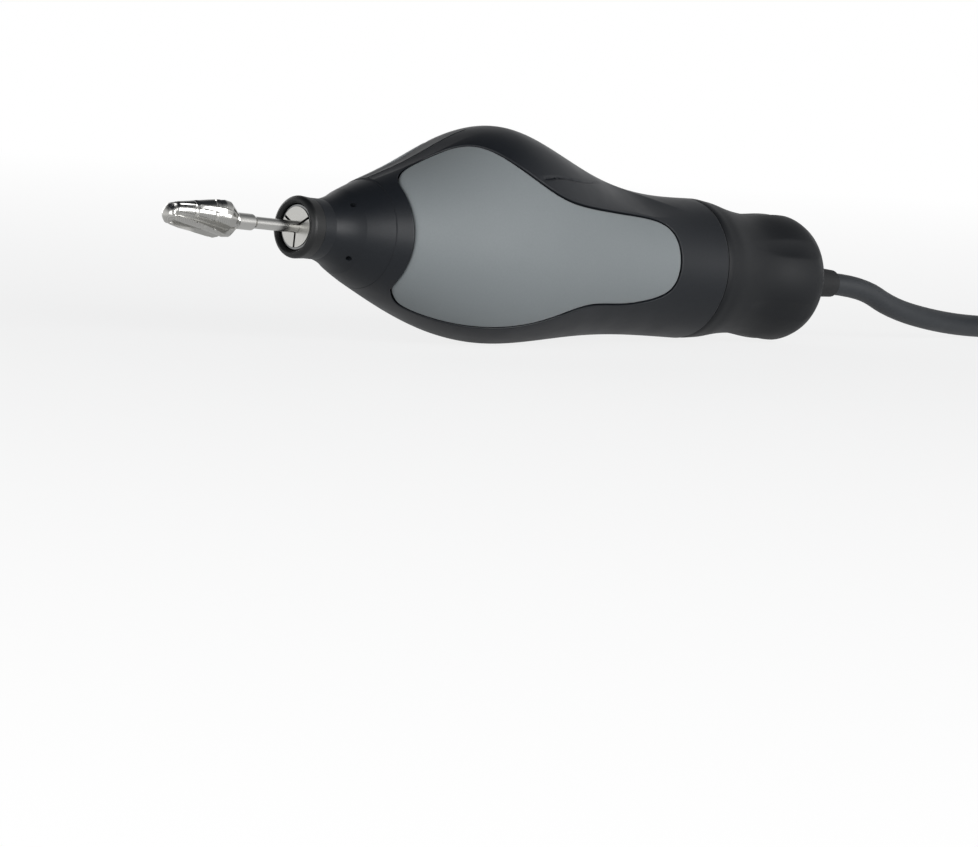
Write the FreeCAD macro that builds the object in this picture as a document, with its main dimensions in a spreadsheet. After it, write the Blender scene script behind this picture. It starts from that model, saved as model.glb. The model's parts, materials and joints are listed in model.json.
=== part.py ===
import FreeCAD, Part
import math
import os

import BOPTools.SplitAPI
import Sketcher
from FreeCAD import Placement, Rotation, Vector

# Handpiece for laboratory work: a hollow motor spindle with a collet, in a grip shell with two inlaid pads.
# Sub-parts are drawn with the spindle axis as X, the front of the nose ring at x = 0 and the rear at +X.
# Every sub-part then gets the same placement, which lays the handpiece down on z = 0.

# Driving dimensions: name, millimetres (or degrees or a count), meaning
DIMENSIONS = [
    ("running_gap", 0.05, "radial gap between a shaft and its hole"),
    ("seat_gap", 0.05, "radial gap of a part seated in another"),
    ("nose_ring_radius", 6.1, "outside of the nose ring"),
    ("nose_opening_radius", 4.6, "opening in the nose ring"),
    ("nose_ring_length", 3.4, "front plane to the nose cone"),
    ("nose_lip_round", 1.1, "rounding of the front lip"),
    ("nose_lip_width", 0.55, "from the opening to the crest of the front lip"),
    ("nose_spigot_radius", 5.2, "spigot of the nose ring in the cone"),
    ("nose_spigot_length", 2.2, "length of that spigot"),
    ("seal_thickness", 1.2, "dust seal behind the nose ring"),
    ("neck_radius", 5.9, "slimmest place of the nose cone"),
    ("neck_position", 6.2, "its place on the axis"),
    ("cone_flare_radius", 16.0, "radius of the hollow flare behind the neck"),
    ("cone_rear_curve", 80.0, "radius of the swelling behind the flare"),
    ("cone_mid_position", 12.0, "where the flare ends"),
    ("cone_mid_radius", 8.2, "nose cone there"),
    ("cone_end", 17.4, "joint between nose cone and shell"),
    ("cone_end_radius", 10.6, "nose cone at that joint"),
    ("cone_bore_radius", 4.9, "bore of the nose cone round the spindle nose"),
    ("cone_bore_end", 11.0, "end of that bore"),
    ("cone_relief_radius", 5.9, "bore round the spindle shoulder"),
    ("cone_spigot_radius", 9.6, "spigot of the nose cone in the shell"),
    ("cone_spigot_end", 27.5, "end of that spigot"),
    ("air_hole_radius", 0.55, "air holes in the nose cone"),
    ("air_hole_position", 10.5, "their place on the axis"),
    ("air_hole_angle", 43.0, "their angle above and below the side"),
    ("air_hole_count", 4, "number of air holes"),
    ("bearing_bore", 4.0, "bore radius of the ball bearings"),
    ("bearing_outside", 8.0, "outside radius of the ball bearings"),
    ("bearing_width", 5.0, "width of the ball bearings"),
    ("inner_shoulder", 5.3, "outside radius of the inner ring"),
    ("outer_shoulder", 6.7, "inside radius of the outer ring"),
    ("race_radius", 1.25, "radius of the ball races"),
    ("race_half_width", 1.05, "half of the race's width at the shoulder"),
    ("ball_radius", 1.2, "bearing balls"),
    ("ball_count", 7, "balls in one bearing"),
    ("cage_half_width", 1.7, "half width of the ball cage"),
    ("cage_thickness", 0.7, "radial thickness of the ball cage"),
    ("pocket_gap", 0.1, "gap between ball and cage"),
    ("front_bearing", 14.5, "front face of the front bearing"),
    ("middle_bearing", 21.5, "front face of the middle bearing"),
    ("rear_bearing", 74.0, "front face of the rear bearing"),
    ("spindle_nose_radius", 4.35, "spindle at the collet"),
    ("spindle_front", 1.0, "front face of the spindle"),
    ("spindle_shoulder_radius", 5.2, "shoulder in front of the front bearing"),
    ("spindle_shoulder_length", 2.0, "length of that shoulder"),
    ("spindle_end", 92.0, "rear end of the spindle"),
    ("spindle_drawbar_bore", 1.65, "spindle bore round the drawbar"),
    ("collet_front", 0.8, "face of the collet"),
    ("collet_head_radius", 3.95, "head of the collet"),
    ("collet_head_length", 1.2, "straight rim of that head"),
    ("collet_taper_end", 8.0, "end of the collet's taper"),
    ("collet_shank_radius", 2.3, "collet behind the taper"),
    ("collet_end", 26.0, "rear end of the collet"),
    ("collet_socket_length", 5.5, "socket for the drawbar"),
    ("collet_slot_width", 0.5, "width of the collet slots"),
    ("collet_slot_length", 16.0, "length of the collet slots"),
    ("collet_slot_count", 3, "number of collet slots"),
    ("collet_bore_end", 14.0, "stop of the tool bore"),
    ("collet_end_play", 0.3, "room behind the collet in the spindle"),
    ("collet_face_play", 0.1, "room behind the rim of its head"),
    ("tool_shank_radius", 1.175, "radius of a 2.35 mm tool shank"),
    ("tool_gap", 0.025, "radial gap of the shank in the collet"),
    ("tool_length", 44.5, "whole length of the cutter"),
    ("tool_inside", 12.0, "end of the shank in the collet"),
    ("tool_neck_radius", 1.6, "thicker neck of the shank"),
    ("tool_neck_length", 4.0, "length of that neck"),
    ("tool_neck_taper", 0.8, "taper from the neck to the shank"),
    ("head_length", 17.8, "cutter head"),
    ("head_flute_share", 0.26, "depth of the flutes as a share of the radius"),
    ("head_flute_lead", 0.18, "where the flute's root lies between two blades"),
    ("head_flute_count", 6, "number of blades"),
    ("head_flute_twist", -62.0, "twist of the blades over the head"),
    ("drawbar_radius", 1.5, "drawbar"),
    ("drawbar_end", 94.0, "rear end of the drawbar"),
    ("spring_bore_radius", 3.2, "spring bore at the rear of the spindle"),
    ("spring_bore_start", 82.0, "front of that bore"),
    ("spring_outside", 2.9, "outside radius of the disc springs"),
    ("spring_pairs", 4, "pairs of disc springs"),
    ("spring_dish", 0.3, "dish of the disc springs"),
    ("nut_start", 89.6, "front face of the drawbar nut"),
    ("nut_radius", 3.0, "drawbar nut"),
    ("spacer_step", 0.3, "bearing spacer inside the shoulder of the outer rings"),
    ("magnet_radius", 7.4, "rotor magnet"),
    ("stator_start", 38.0, "front of the stator core"),
    ("stator_end", 64.0, "rear of the stator core"),
    ("air_gap", 0.5, "gap between magnet and stator"),
    ("stator_radius", 11.5, "outside of the stator core"),
    ("slot_count", 6, "winding slots"),
    ("slot_inner_radius", 8.7, "inner edge of the winding slots"),
    ("slot_depth", 1.9, "depth of the winding slots"),
    ("slot_width", 4.0, "width of the winding slots"),
    ("winding_overhang", 4.0, "end turns beyond the core"),
    ("bar_step", 0.35, "bars of the windings outside the bore of the end turns"),
    ("balance_width", 2.0, "balance rings beside the magnet"),
    ("balance_step", 0.4, "balance rings inside the rim of the magnet"),
    ("tube_radius", 12.3, "outside of the motor tube"),
    ("tube_wall", 0.7, "wall of the motor tube"),
    ("tube_start", 29.0, "front of the motor tube"),
    ("tube_end", 92.0, "rear of the motor tube"),
    ("tube_lip", 1.5, "inward lip at the tube's front"),
    ("carrier_start", 71.0, "front of the rear bearing carrier"),
    ("carrier_end", 81.0, "rear of that carrier"),
    ("preload_room", 1.0, "room for the preload spring"),
    ("preload_thickness", 0.85, "preload spring"),
    ("preload_step", 0.4, "preload spring inside its room"),
    ("board_position", 82.4, "front face of the sensor board"),
    ("board_thickness", 1.2, "sensor board"),
    ("board_bore", 5.0, "hole in the sensor board"),
    ("sensor_count", 3, "position sensors on the board"),
    ("sensor_width", 3.0, "width of a sensor"),
    ("sensor_depth", 1.6, "depth of a sensor"),
    ("sensor_height", 1.2, "height of a sensor"),
    ("sensor_step", 0.6, "sensors outside the rim of the magnet"),
    ("fan_start", 85.0, "front face of the fan"),
    ("fan_disc", 1.0, "thickness of the fan's disc"),
    ("fan_end", 89.5, "rear edge of the blades"),
    ("fan_radius", 10.6, "outside of the fan"),
    ("fan_blades", 9, "number of blades"),
    ("fan_hub_wall", 1.0, "wall of the fan's hub"),
    ("fan_blade_thickness", 0.6, "thickness of a blade"),
    ("frame_start", 92.1, "front of the rear frame"),
    ("flange_length", 3.4, "flange of the rear frame"),
    ("barrel_radius", 9.5, "barrel that the sleeve turns on"),
    ("barrel_bore", 7.6, "bore of that barrel"),
    ("barrel_end", 131.0, "rear end of the barrel"),
    ("guide_start", 98.0, "front of the pusher's guide"),
    ("guide_length", 3.0, "length of that guide"),
    ("pusher_radius", 2.5, "rod of the release pusher"),
    ("pusher_start", 94.3, "front end of the pusher at rest"),
    ("pusher_head_start", 105.6, "head of the release pusher"),
    ("pusher_head_length", 4.0, "length of that head"),
    ("release_travel", 0.8, "travel of the pusher and the collet"),
    ("release_twist", 50.0, "twist of the release sleeve"),
    ("pin_radius", 0.9, "cross pin that the cam ring moves"),
    ("cam_ring_start", 103.2, "front of the cam ring"),
    ("cam_ring_end", 112.4, "rear of the cam ring"),
    ("cam_ring_wall", 1.7, "wall of the cam ring"),
    ("cam_slot_gap", 0.25, "gap of the pin in the cam slots"),
    ("shell_gap", 0.1, "radial gap between the motor tube and the shell"),
    ("shell_end", 106.0, "rear end of the shell"),
    ("shell_wall", 2.4, "wall of the swollen part"),
    ("seam_width", 0.3, "parting line along the front of the crest"),
    ("seam_depth", 0.3, "depth of that line"),
    ("seam_end", 42.0, "rear end of that line"),
    ("web_width", 2.5, "webs that carry the motor tube"),
    ("front_web", 40.0, "front web"),
    ("rear_web", 60.0, "rear web"),
    ("cavity_start", 31.0, "front of the hollow round the motor tube"),
    ("cavity_end", 78.0, "rear of that hollow"),
    ("pad_depth", 1.4, "depth of the pads in the shell"),
    ("pad_gap", 0.2, "gap round the pads"),
    ("sleeve_gap", 0.25, "gap between shell and sleeve"),
    ("sleeve_end", 135.0, "rear end of the sleeve"),
    ("sleeve_bore_end", 129.0, "end of the sleeve's running bore"),
    ("sleeve_rim", 0.5, "flat rim round the rear cap"),
    ("sleeve_front_curve", 11.0, "radius of the sleeve's profile at its front"),
    ("flute_count", 6, "shallow flutes on the sleeve"),
    ("flute_radius", 14.0, "radius of those flutes"),
    ("flute_depth", 0.35, "depth of the flutes at the rear"),
    ("ring_start", 129.2, "retaining ring of the sleeve"),
    ("ring_width", 1.2, "width of that ring"),
    ("ring_wall", 1.6, "wall of that ring"),
    ("ring_groove_depth", 0.5, "depth of its groove in the barrel"),
    ("ring_opening", 4.0, "opening of that ring"),
    ("cap_start", 131.1, "front of the rear cap"),
    ("cap_end", 134.4, "rear face of the rear cap"),
    ("cap_step", 0.1, "rear cap outside the retaining ring"),
    ("cap_gap", 0.2, "radial gap round the rear cap"),
    ("cap_round", 1.0, "rounding of the rear cap"),
    ("cap_spigot_length", 4.0, "spigot of the cap in the barrel"),
    ("cap_spigot_wall", 1.4, "wall of that spigot"),
    ("gland_radius", 3.6, "cord gland at the rear cap"),
    ("gland_step", 0.4, "cord gland's neck inside its collar"),
    ("gland_foot_length", 1.6, "foot of the gland inside the cap"),
    ("gland_foot_width", 1.4, "its width round the neck"),
    ("gland_tip_radius", 2.75, "cord gland at its tip"),
    ("gland_end", 148.0, "tip of the cord gland"),
    ("o_ring_radius", 0.4, "section radius of the O-rings"),
    ("front_o_ring", 24.0, "place of the front O-ring"),
    ("rear_o_ring", 93.8, "place of the rear O-ring"),
    ("cord_radius", 2.25, "cord"),
    ("hank_run", 55.0, "straight runs of the hank"),
    ("hank_fold", 15.0, "outermost turn at the folds of the hank"),
    ("hank_columns", 2, "turns side by side"),
    ("hank_layers", 4, "turns on each other"),
    ("hank_bevel", 1.35, "bevel of the hank's rims"),
    ("tie_width", 9.0, "strap round the hank"),
    ("tie_gap", 0.3, "gap between the strap and the hank"),
    ("tie_thickness", 0.8, "thickness of that strap"),
    ("plug_shell_radius", 6.0, "plug shell"),
    ("plug_shell_length", 22.0, "plug shell"),
    ("plug_round", 1.2, "rounding of the plug shell at the boot"),
    ("plug_edge", 0.4, "bevel of its front rim"),
    ("plug_seat", 2.0, "barrel inside the shell"),
    ("plug_seat_step", 0.2, "step of the barrel in its seat"),
    ("plug_barrel_radius", 5.15, "plug barrel"),
    ("plug_barrel_wall", 0.7, "wall of the plug barrel"),
    ("plug_barrel_length", 10.0, "plug barrel beyond the shell"),
    ("plug_boot_length", 18.0, "plug boot"),
    ("plug_boot_wall", 0.4, "boot round the cord"),
    ("insulator_reach", 3.0, "insulator beyond the shell"),
    ("insulator_bore", 0.6, "hole in the insulator"),
    ("plug_pin_radius", 0.5, "plug pins"),
    ("plug_pin_length", 5.0, "plug pins"),
    ("plug_pin_circle", 2.75, "radius of their circle"),
    ("plug_pin_count", 6, "plug pins"),
]

# Sections of the swollen grip: name, place on the axis, and how far its top, bottom and sides lie outside
# the bore of the shell, or for the front section outside the end of the nose cone
GRIP_SECTIONS = [
    ("front", 17.4, 0.2, 0.0, 0.0),
    ("shoulder", 28.3, 3.3, 2.3, 2.5),
    ("rise", 39.4, 9.0, 5.45, 5.45),
    ("crest", 50.5, 11.4, 6.6, 6.45),
    ("fall", 61.6, 8.8, 5.6, 5.45),
    ("slope", 72.7, 4.9, 3.85, 3.7),
    ("waist", 83.8, 2.3, 2.55, 2.4),
    ("tail", 94.9, 1.4, 2.0, 1.8),
    ("end", 106.0, 1.7, 1.8, 1.8),
]
GRIP_SPOKES = 16

# Profile of the release sleeve: name, place on the axis, radius, and radius of the curve behind that place
SLEEVE_SECTIONS = [
    ("flare", 110.0, 13.8, 40.0),
    ("slim", 119.5, 12.15, 40.0),
    ("swell", 127.0, 12.75, 17.0),
    ("heel", 131.5, 12.95, 5.3),
]

# Outline of the cutter head: share of its length behind the tip and radius
HEAD_SECTIONS = [
    (0.005, 0.85), (0.03, 1.5), (0.09, 2.25), (0.2, 2.6), (0.33, 2.85), (0.5, 3.25), (0.65, 3.65),
    (0.76, 3.92), (0.84, 3.72), (0.91, 2.85), (1.0, 1.65),
]

# Hollow of the neck above a pad: place on the axis, angles of its lower and upper edge, depth
SCOOP_SECTIONS = [
    (50.0, 36.5, 38.0, -0.5), (56.0, 31.5, 43.5, 0.35), (63.0, 31.5, 49.0, 0.8), (70.0, 33.5, 57.0, 1.0),
    (77.0, 38.0, 63.0, 1.0), (84.0, 40.0, 62.0, 0.9), (90.0, 41.5, 58.0, 0.4), (97.0, 50.0, 52.0, -0.5),
]

# The lofted cutter of that hollow stands this far over the surface
SCOOP_ROOM = 4.0

# Outline of a grip pad: place on the axis and angle above the side of the handpiece, front corner first
PAD_OUTLINE = [
    (21.3, -50), (21.3, 0), (21.3, 52), (22.3, 67), (27, 74.5), (34, 74), (38.5, 64), (42.5, 49),
    (48, 35), (56, 28), (66, 29), (78, 36), (86, 36.5), (90.2, 24), (91, 2), (89, -21),
    (82, -30.5), (70, -32), (61, -37), (52, -47), (40, -60), (29, -69), (24, -67), (21.8, -59),
]

# Route of the cord over the floor, in the frame of the whole part, from the first bend to the hank
CORD_ROUTE = [
    (108.4, 0.3, 6.6),
    (123.7, 2.0, 3.7),
    (139.9, 5.0, 2.25),
    (154.0, 5.5, 2.25),
    (172.0, 5.5, 2.25),
]
# Route of the cord's end, down the side of the hank to the plug
TAIL_ROUTE = [
    (157.0, 2.4, 15.75),
    (169.0, 9.3, 15.3),
    (181.0, 14.6, 7.4),
    (193.0, 15.0, 6.05),
]
CORD_FIRST_RUN = 9.0
CORD_LEAST_BEND = 18.0
TAIL_LEAST_BEND = 9.0
HANK_CENTRE = (194.75, -9.5)
TIE_PLACE = 178.0
# Length of the cord's end that the plug's boot holds
PLUG_GRIP = 3.0

# A cutting profile reaches this many times as far as what it cuts; added forms start this deep in theirs
OVERCUT = 1.2
OVERLAP = 0.2

document = FreeCAD.newDocument("handpiece")
sheet = document.addObject("Spreadsheet::Sheet", "Sizes")


class Size:
    """A number together with the expression that gives it from the sheet."""

    def __init__(self, value, text):
        self.value = value
        self.text = text

    def __add__(self, other):
        return combined(self, "+", other)

    def __radd__(self, other):
        return combined(other, "+", self)

    def __sub__(self, other):
        return combined(self, "-", other)

    def __rsub__(self, other):
        return combined(other, "-", self)

    def __mul__(self, other):
        return combined(self, "*", other)

    def __rmul__(self, other):
        return combined(other, "*", self)

    def __truediv__(self, other):
        return combined(self, "/", other)

    def __neg__(self):
        return combined(0, "-", self)


def combined(left, sign, right):
    """The size that a sum, difference, product or quotient of two sizes gives."""
    first = left if isinstance(left, Size) else Size(left, str(left))
    second = right if isinstance(right, Size) else Size(right, str(right))
    values = {
        "+": first.value + second.value,
        "-": first.value - second.value,
        "*": first.value * second.value,
        "/": first.value / second.value if second.value else 0,
    }
    return Size(values[sign], "(%s %s %s)" % (first.text, sign, second.text))


def number(size):
    """The plain number of a size or number."""
    return size.value if isinstance(size, Size) else float(size)


class Sizes:
    """The driving dimensions by name."""


def fill_sheet():
    """Write every driving dimension into the sheet and return them by name."""
    rows = list(DIMENSIONS)
    for name, place, above, below, side in GRIP_SECTIONS:
        rows.append((name + "_place", place, "grip section on the axis"))
        rows.append((name + "_over_top", above, "grip over the bore at the top"))
        rows.append((name + "_over_belly", below, "grip over the bore at the bottom"))
        rows.append((name + "_over_side", side, "grip over the bore at the side"))
    for name, place, radius, curve in SLEEVE_SECTIONS:
        rows.append((name + "_place", place, "sleeve section on the axis"))
        rows.append((name + "_radius", radius, "radius of the sleeve section"))
        rows.append((name + "_curve", curve, "radius of the profile behind the sleeve section"))
    for line, (name, value, meaning) in enumerate(rows, start=1):
        sheet.set("A%d" % line, name)
        sheet.set("B%d" % line, str(value))
        sheet.set("C%d" % line, meaning)
        sheet.setAlias("B%d" % line, name)
    document.recompute()
    sizes = Sizes()
    for name, value, meaning in rows:
        setattr(sizes, name, Size(float(sheet.get(name)), "Sizes." + name))
    return sizes


s = fill_sheet()
s.shell_bore = s.tube_radius + s.shell_gap
s.cam_ring_bore = s.barrel_radius + s.running_gap * 2
s.cam_ring_outside = s.cam_ring_bore + s.cam_ring_wall
s.ring_groove = s.barrel_radius - s.ring_groove_depth
s.ring_outside = s.ring_groove + s.ring_wall
s.cap_radius = s.ring_outside + s.cap_step
s.sleeve_cap_radius = s.cap_radius + s.cap_gap
s.crest_above = s.shell_bore + s.crest_over_top
s.crest_below = s.shell_bore + s.crest_over_belly
s.crest_side = s.shell_bore + s.crest_over_side
s.end_side = s.shell_bore + s.end_over_side


def bind(thing, prop, size):
    """Bind a property to a size's expression, or set a plain number."""
    if isinstance(size, Size):
        thing.setExpression(prop, size.text)
    else:
        setattr(thing, prop, size)


def origin_part(body, role):
    """The plane or axis of a body's own origin that has this role."""
    for feature in body.Origin.OriginFeatures:
        if feature.Role == role:
            return feature
    raise ValueError(role)


def new_body(label):
    """An empty body with its label."""
    body = document.addObject("PartDesign::Body", label)
    body.Label = label
    return body


def new_sketch(body, name, plane, offset=None):
    """A sketch on one of the body's origin planes, moved along the plane's normal by offset."""
    sketch = body.newObject("Sketcher::SketchObject", name)
    sketch.AttachmentSupport = (origin_part(body, plane), "")
    sketch.MapMode = "FlatFace"
    if offset is not None:
        bind(sketch, "AttachmentOffset.Base.z", offset)
    return sketch


def pin_down(sketch, geometry, point, across, up):
    """Hold a point of a sketch at its distances from the origin."""
    for kind, axis, size in (("DistanceX", -2, across), ("DistanceY", -1, up)):
        if abs(number(size)) < 1e-9:
            sketch.addConstraint(Sketcher.Constraint("PointOnObject", geometry, point, axis))
        else:
            rule = Sketcher.Constraint(kind, -1, 1, geometry, point, number(size))
            index = sketch.addConstraint(rule)
            if isinstance(size, Size):
                sketch.setExpression("Constraints[%d]" % index, size.text)


def arc_between(first, last, radius):
    """An arc from first to last; a positive radius turns to the left. Also says which end is first."""
    middle = (first + last) * 0.5
    chord = last - first
    half = chord.Length / 2
    reach = math.sqrt(max(radius * radius - half * half, 0))
    left = Vector(-chord.y, chord.x, 0).normalize()
    centre = middle + left * (reach if radius > 0 else -reach)
    start, stop = (first, last) if radius > 0 else (last, first)
    begin = math.atan2(start.y - centre.y, start.x - centre.x)
    end = math.atan2(stop.y - centre.y, stop.x - centre.x)
    if end < begin:
        end += 2 * math.pi
    circle = Part.Circle(centre, Vector(0, 0, 1), abs(radius))
    return Part.ArcOfCircle(circle, begin, end), (1, 2) if radius > 0 else (2, 1)


def closed_outline(sketch, outline):
    """Draw a closed outline; a third value on a point is the radius of the arc that leads to it."""
    points = [Vector(number(point[0]), number(point[1]), 0) for point in outline]
    ends = []
    for index, point in enumerate(outline):
        first = points[index - 1]
        last = points[index]
        if len(point) == 3:
            curve, order = arc_between(first, last, number(point[2]))
        else:
            curve, order = Part.LineSegment(first, last), (1, 2)
        geometry = sketch.addGeometry(curve)
        ends.append((geometry, order))
        pin_down(sketch, geometry, order[1], point[0], point[1])
        if len(point) == 3:
            rule = Sketcher.Constraint("Radius", geometry, abs(number(point[2])))
            number_of_rule = sketch.addConstraint(rule)
            if isinstance(point[2], Size):
                sketch.setExpression("Constraints[%d]" % number_of_rule, "abs(%s)" % point[2].text)
    for index, (geometry, order) in enumerate(ends):
        before, before_order = ends[index - 1]
        sketch.addConstraint(Sketcher.Constraint("Coincident", before, before_order[1], geometry, order[0]))


def turned(label, outline):
    """A body of revolution about the spindle axis from an outline of (place, radius) points."""
    body = new_body(label)
    sketch = new_sketch(body, label + "_profile", "XZ_Plane")
    closed_outline(sketch, outline)
    feature = body.newObject("PartDesign::Revolution", label + "_turned")
    feature.Profile = sketch
    feature.ReferenceAxis = (sketch, ["H_Axis"])
    feature.Angle = 360
    return body


def ring(label, start, end, inner, outer):
    """A plain ring between two places on the axis."""
    return turned(label, [(start, inner), (end, inner), (end, outer), (start, outer)])


def polar(body, features, count, name):
    """Repeat features of a body evenly round the spindle axis."""
    pattern = body.newObject("PartDesign::PolarPattern", name)
    pattern.Originals = features
    pattern.Axis = (origin_part(body, "X_Axis"), [""])
    pattern.Angle = 360
    bind(pattern, "Occurrences", count)
    body.Tip = pattern
    return pattern


def box_outline(sketch, left, right, low, high):
    """A rectangle in a sketch."""
    closed_outline(sketch, [(left, low), (right, low), (right, high), (left, high)])


def circle_at(sketch, across, up, radius):
    """A circle in a sketch."""
    circle = Part.Circle(Vector(number(across), number(up), 0), Vector(0, 0, 1), number(radius))
    geometry = sketch.addGeometry(circle)
    pin_down(sketch, geometry, 3, across, up)
    index = sketch.addConstraint(Sketcher.Constraint("Radius", geometry, number(radius)))
    if isinstance(radius, Size):
        sketch.setExpression("Constraints[%d]" % index, radius.text)


def cut_forward(body, sketch, length, name):
    """Cut a sketch on a YZ plane into the body along +X."""
    pocket = body.newObject("PartDesign::Pocket", name)
    pocket.Profile = sketch
    pocket.Reversed = True
    bind(pocket, "Length", length)
    return pocket


def cut_outward(body, sketch, length, name):
    """Cut a sketch on an XZ plane into the body, from the spindle axis outwards."""
    pocket = body.newObject("PartDesign::Pocket", name)
    pocket.Profile = sketch
    pocket.Reversed = True
    bind(pocket, "Length", length)
    return pocket


def tilt_sketch(sketch, angle):
    """Turn a sketch about the spindle axis by an angle in degrees."""
    sketch.AttachmentOffset = Placement(Vector(0, 0, 0), Rotation(Vector(1, 0, 0), angle))


def pad_forward(body, sketch, length, name):
    """Raise a sketch on a YZ plane along +X."""
    pad = body.newObject("PartDesign::Pad", name)
    pad.Profile = sketch
    bind(pad, "Length", length)
    return pad


def shape_piece(label, shape):
    """A sub-part whose shape is made from the sheet's values by code."""
    piece = document.addObject("Part::Feature", label)
    piece.Label = label
    piece.Shape = shape
    return piece


# Nose


def nose_ring():
    lip = s.nose_lip_round
    return turned("nose_ring", [
        (lip, s.nose_opening_radius, lip),
        (s.nose_ring_length + s.nose_spigot_length, s.nose_opening_radius),
        (s.nose_ring_length + s.nose_spigot_length, s.nose_spigot_radius),
        (s.nose_ring_length, s.nose_spigot_radius),
        (s.nose_ring_length, s.neck_radius),
        (lip, s.nose_ring_radius),
        (0, s.nose_opening_radius + s.nose_lip_width, lip),
    ])


def dust_seal():
    start = s.nose_ring_length + s.nose_spigot_length + s.seat_gap
    return ring("dust_seal", start, start + s.seal_thickness,
                s.spindle_nose_radius + s.running_gap, s.cone_bore_radius - s.seat_gap)


def nose_cone():
    seat = s.bearing_outside + s.seat_gap
    spigot_hole = s.nose_spigot_radius + s.seat_gap
    spigot_hole_end = s.nose_ring_length + s.nose_spigot_length + s.seat_gap
    groove = s.cone_spigot_radius - s.o_ring_radius * 2 - s.seat_gap
    body = turned("nose_cone", [
        (s.nose_ring_length + s.seat_gap, spigot_hole),
        (spigot_hole_end, spigot_hole),
        (spigot_hole_end, s.cone_bore_radius),
        (s.cone_bore_end, s.cone_bore_radius),
        (s.cone_bore_end, s.cone_relief_radius),
        (s.front_bearing - s.seat_gap, s.cone_relief_radius),
        (s.front_bearing - s.seat_gap, seat),
        (s.cone_spigot_end, seat),
        (s.cone_spigot_end, s.cone_spigot_radius),
        (s.front_o_ring + s.o_ring_radius + s.seat_gap, s.cone_spigot_radius),
        (s.front_o_ring + s.o_ring_radius + s.seat_gap, groove),
        (s.front_o_ring - s.o_ring_radius - s.seat_gap, groove),
        (s.front_o_ring - s.o_ring_radius - s.seat_gap, s.cone_spigot_radius),
        (s.cone_end, s.cone_spigot_radius),
        (s.cone_end, s.cone_end_radius),
        (s.cone_mid_position, s.cone_mid_radius, s.cone_rear_curve),
        (s.neck_position, s.neck_radius, -s.cone_flare_radius),
        (s.nose_ring_length + s.seat_gap, s.neck_radius),
    ])
    sketch = new_sketch(body, "air_hole_sketch", "XZ_Plane")
    tilt_sketch(sketch, number(s.air_hole_angle))
    circle_at(sketch, s.air_hole_position, 0, s.air_hole_radius)
    hole = cut_outward(body, sketch, s.cone_end_radius, "air_hole")
    polar(body, [hole], s.air_hole_count, "air_holes")
    return body


def o_ring(label, place, seat_radius):
    """A ring of round section that fits in a groove cut in a spigot of seat_radius."""
    torus = document.addObject("Part::Torus", label)
    torus.Label = label
    bind(torus, "Radius1", seat_radius - s.o_ring_radius)
    bind(torus, "Radius2", s.o_ring_radius)
    torus.Placement = Placement(Vector(number(place), 0, 0), Rotation(Vector(0, 1, 0), 90))
    bind(torus, "Placement.Base.x", place)
    return torus


# Spindle, collet and cutter


def spindle():
    shaft = s.bearing_bore - s.seat_gap
    rim = s.collet_head_radius + s.running_gap
    rim_end = s.collet_front + s.collet_head_length + s.collet_face_play
    collet_bore = s.collet_shank_radius + s.running_gap
    collet_room = s.collet_end + s.collet_end_play
    shoulder_front = s.front_bearing - s.spindle_shoulder_length
    return turned("spindle", [
        (s.spindle_front, rim),
        (rim_end, rim),
        (s.collet_taper_end, collet_bore),
        (collet_room, collet_bore),
        (collet_room, s.spindle_drawbar_bore),
        (s.spring_bore_start, s.spindle_drawbar_bore),
        (s.spring_bore_start, s.spring_bore_radius),
        (s.spindle_end, s.spring_bore_radius),
        (s.spindle_end, shaft),
        (s.front_bearing, shaft),
        (s.front_bearing, s.spindle_shoulder_radius),
        (shoulder_front, s.spindle_shoulder_radius),
        (shoulder_front, s.spindle_nose_radius),
        (s.spindle_front, s.spindle_nose_radius),
    ])


def collet():
    bore = s.tool_shank_radius + s.tool_gap
    socket = s.drawbar_radius + s.seat_gap
    socket_start = s.collet_end - s.collet_socket_length
    body = turned("collet", [
        (s.collet_front, bore),
        (s.collet_bore_end, bore),
        (s.collet_bore_end, 0),
        (socket_start, 0),
        (socket_start, socket),
        (s.collet_end, socket),
        (s.collet_end, s.collet_shank_radius),
        (s.collet_taper_end, s.collet_shank_radius),
        (s.collet_front + s.collet_head_length, s.collet_head_radius),
        (s.collet_front, s.collet_head_radius),
    ])
    sketch = new_sketch(body, "collet_slot_sketch", "YZ_Plane", s.collet_front)
    half = s.collet_slot_width / 2
    box_outline(sketch, -half, half, -s.collet_head_radius * OVERCUT, 0)
    slot = cut_forward(body, sketch, s.collet_slot_length, "collet_slot")
    polar(body, [slot], s.collet_slot_count, "collet_slots")
    return body


def cutter_shank():
    head_rear = s.tool_inside - s.tool_length + s.head_length
    neck_end = head_rear + s.tool_neck_length
    return turned("cutter_shank", [
        (head_rear, 0),
        (s.tool_inside, 0),
        (s.tool_inside, s.tool_shank_radius),
        (neck_end + s.tool_neck_taper, s.tool_shank_radius),
        (neck_end, s.tool_neck_radius),
        (head_rear, s.tool_neck_radius),
    ])


def cutter_head():
    """Twisted blades lofted through saw-tooth sections that grow and shrink along a pear-shaped outline."""
    rear = number(s.tool_inside - s.tool_length + s.head_length)
    length = number(s.head_length)
    count = int(number(s.head_flute_count))
    teeth = ((0.0, 1.0), (number(s.head_flute_lead), 1 - number(s.head_flute_share)))
    wires = []
    for share, radius in HEAD_SECTIONS:
        place = rear - length + share * length
        points = []
        for blade in range(count):
            for lead, reach in teeth:
                angle = math.radians(number(s.head_flute_twist) * share + 360.0 * (blade + lead) / count)
                far = radius * reach
                points.append(Vector(place, -far * math.cos(angle), far * math.sin(angle)))
        points.append(points[0])
        wires.append(Part.makePolygon(points))
    return shape_piece("cutter_head", Part.makeLoft(wires, True, True))


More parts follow.
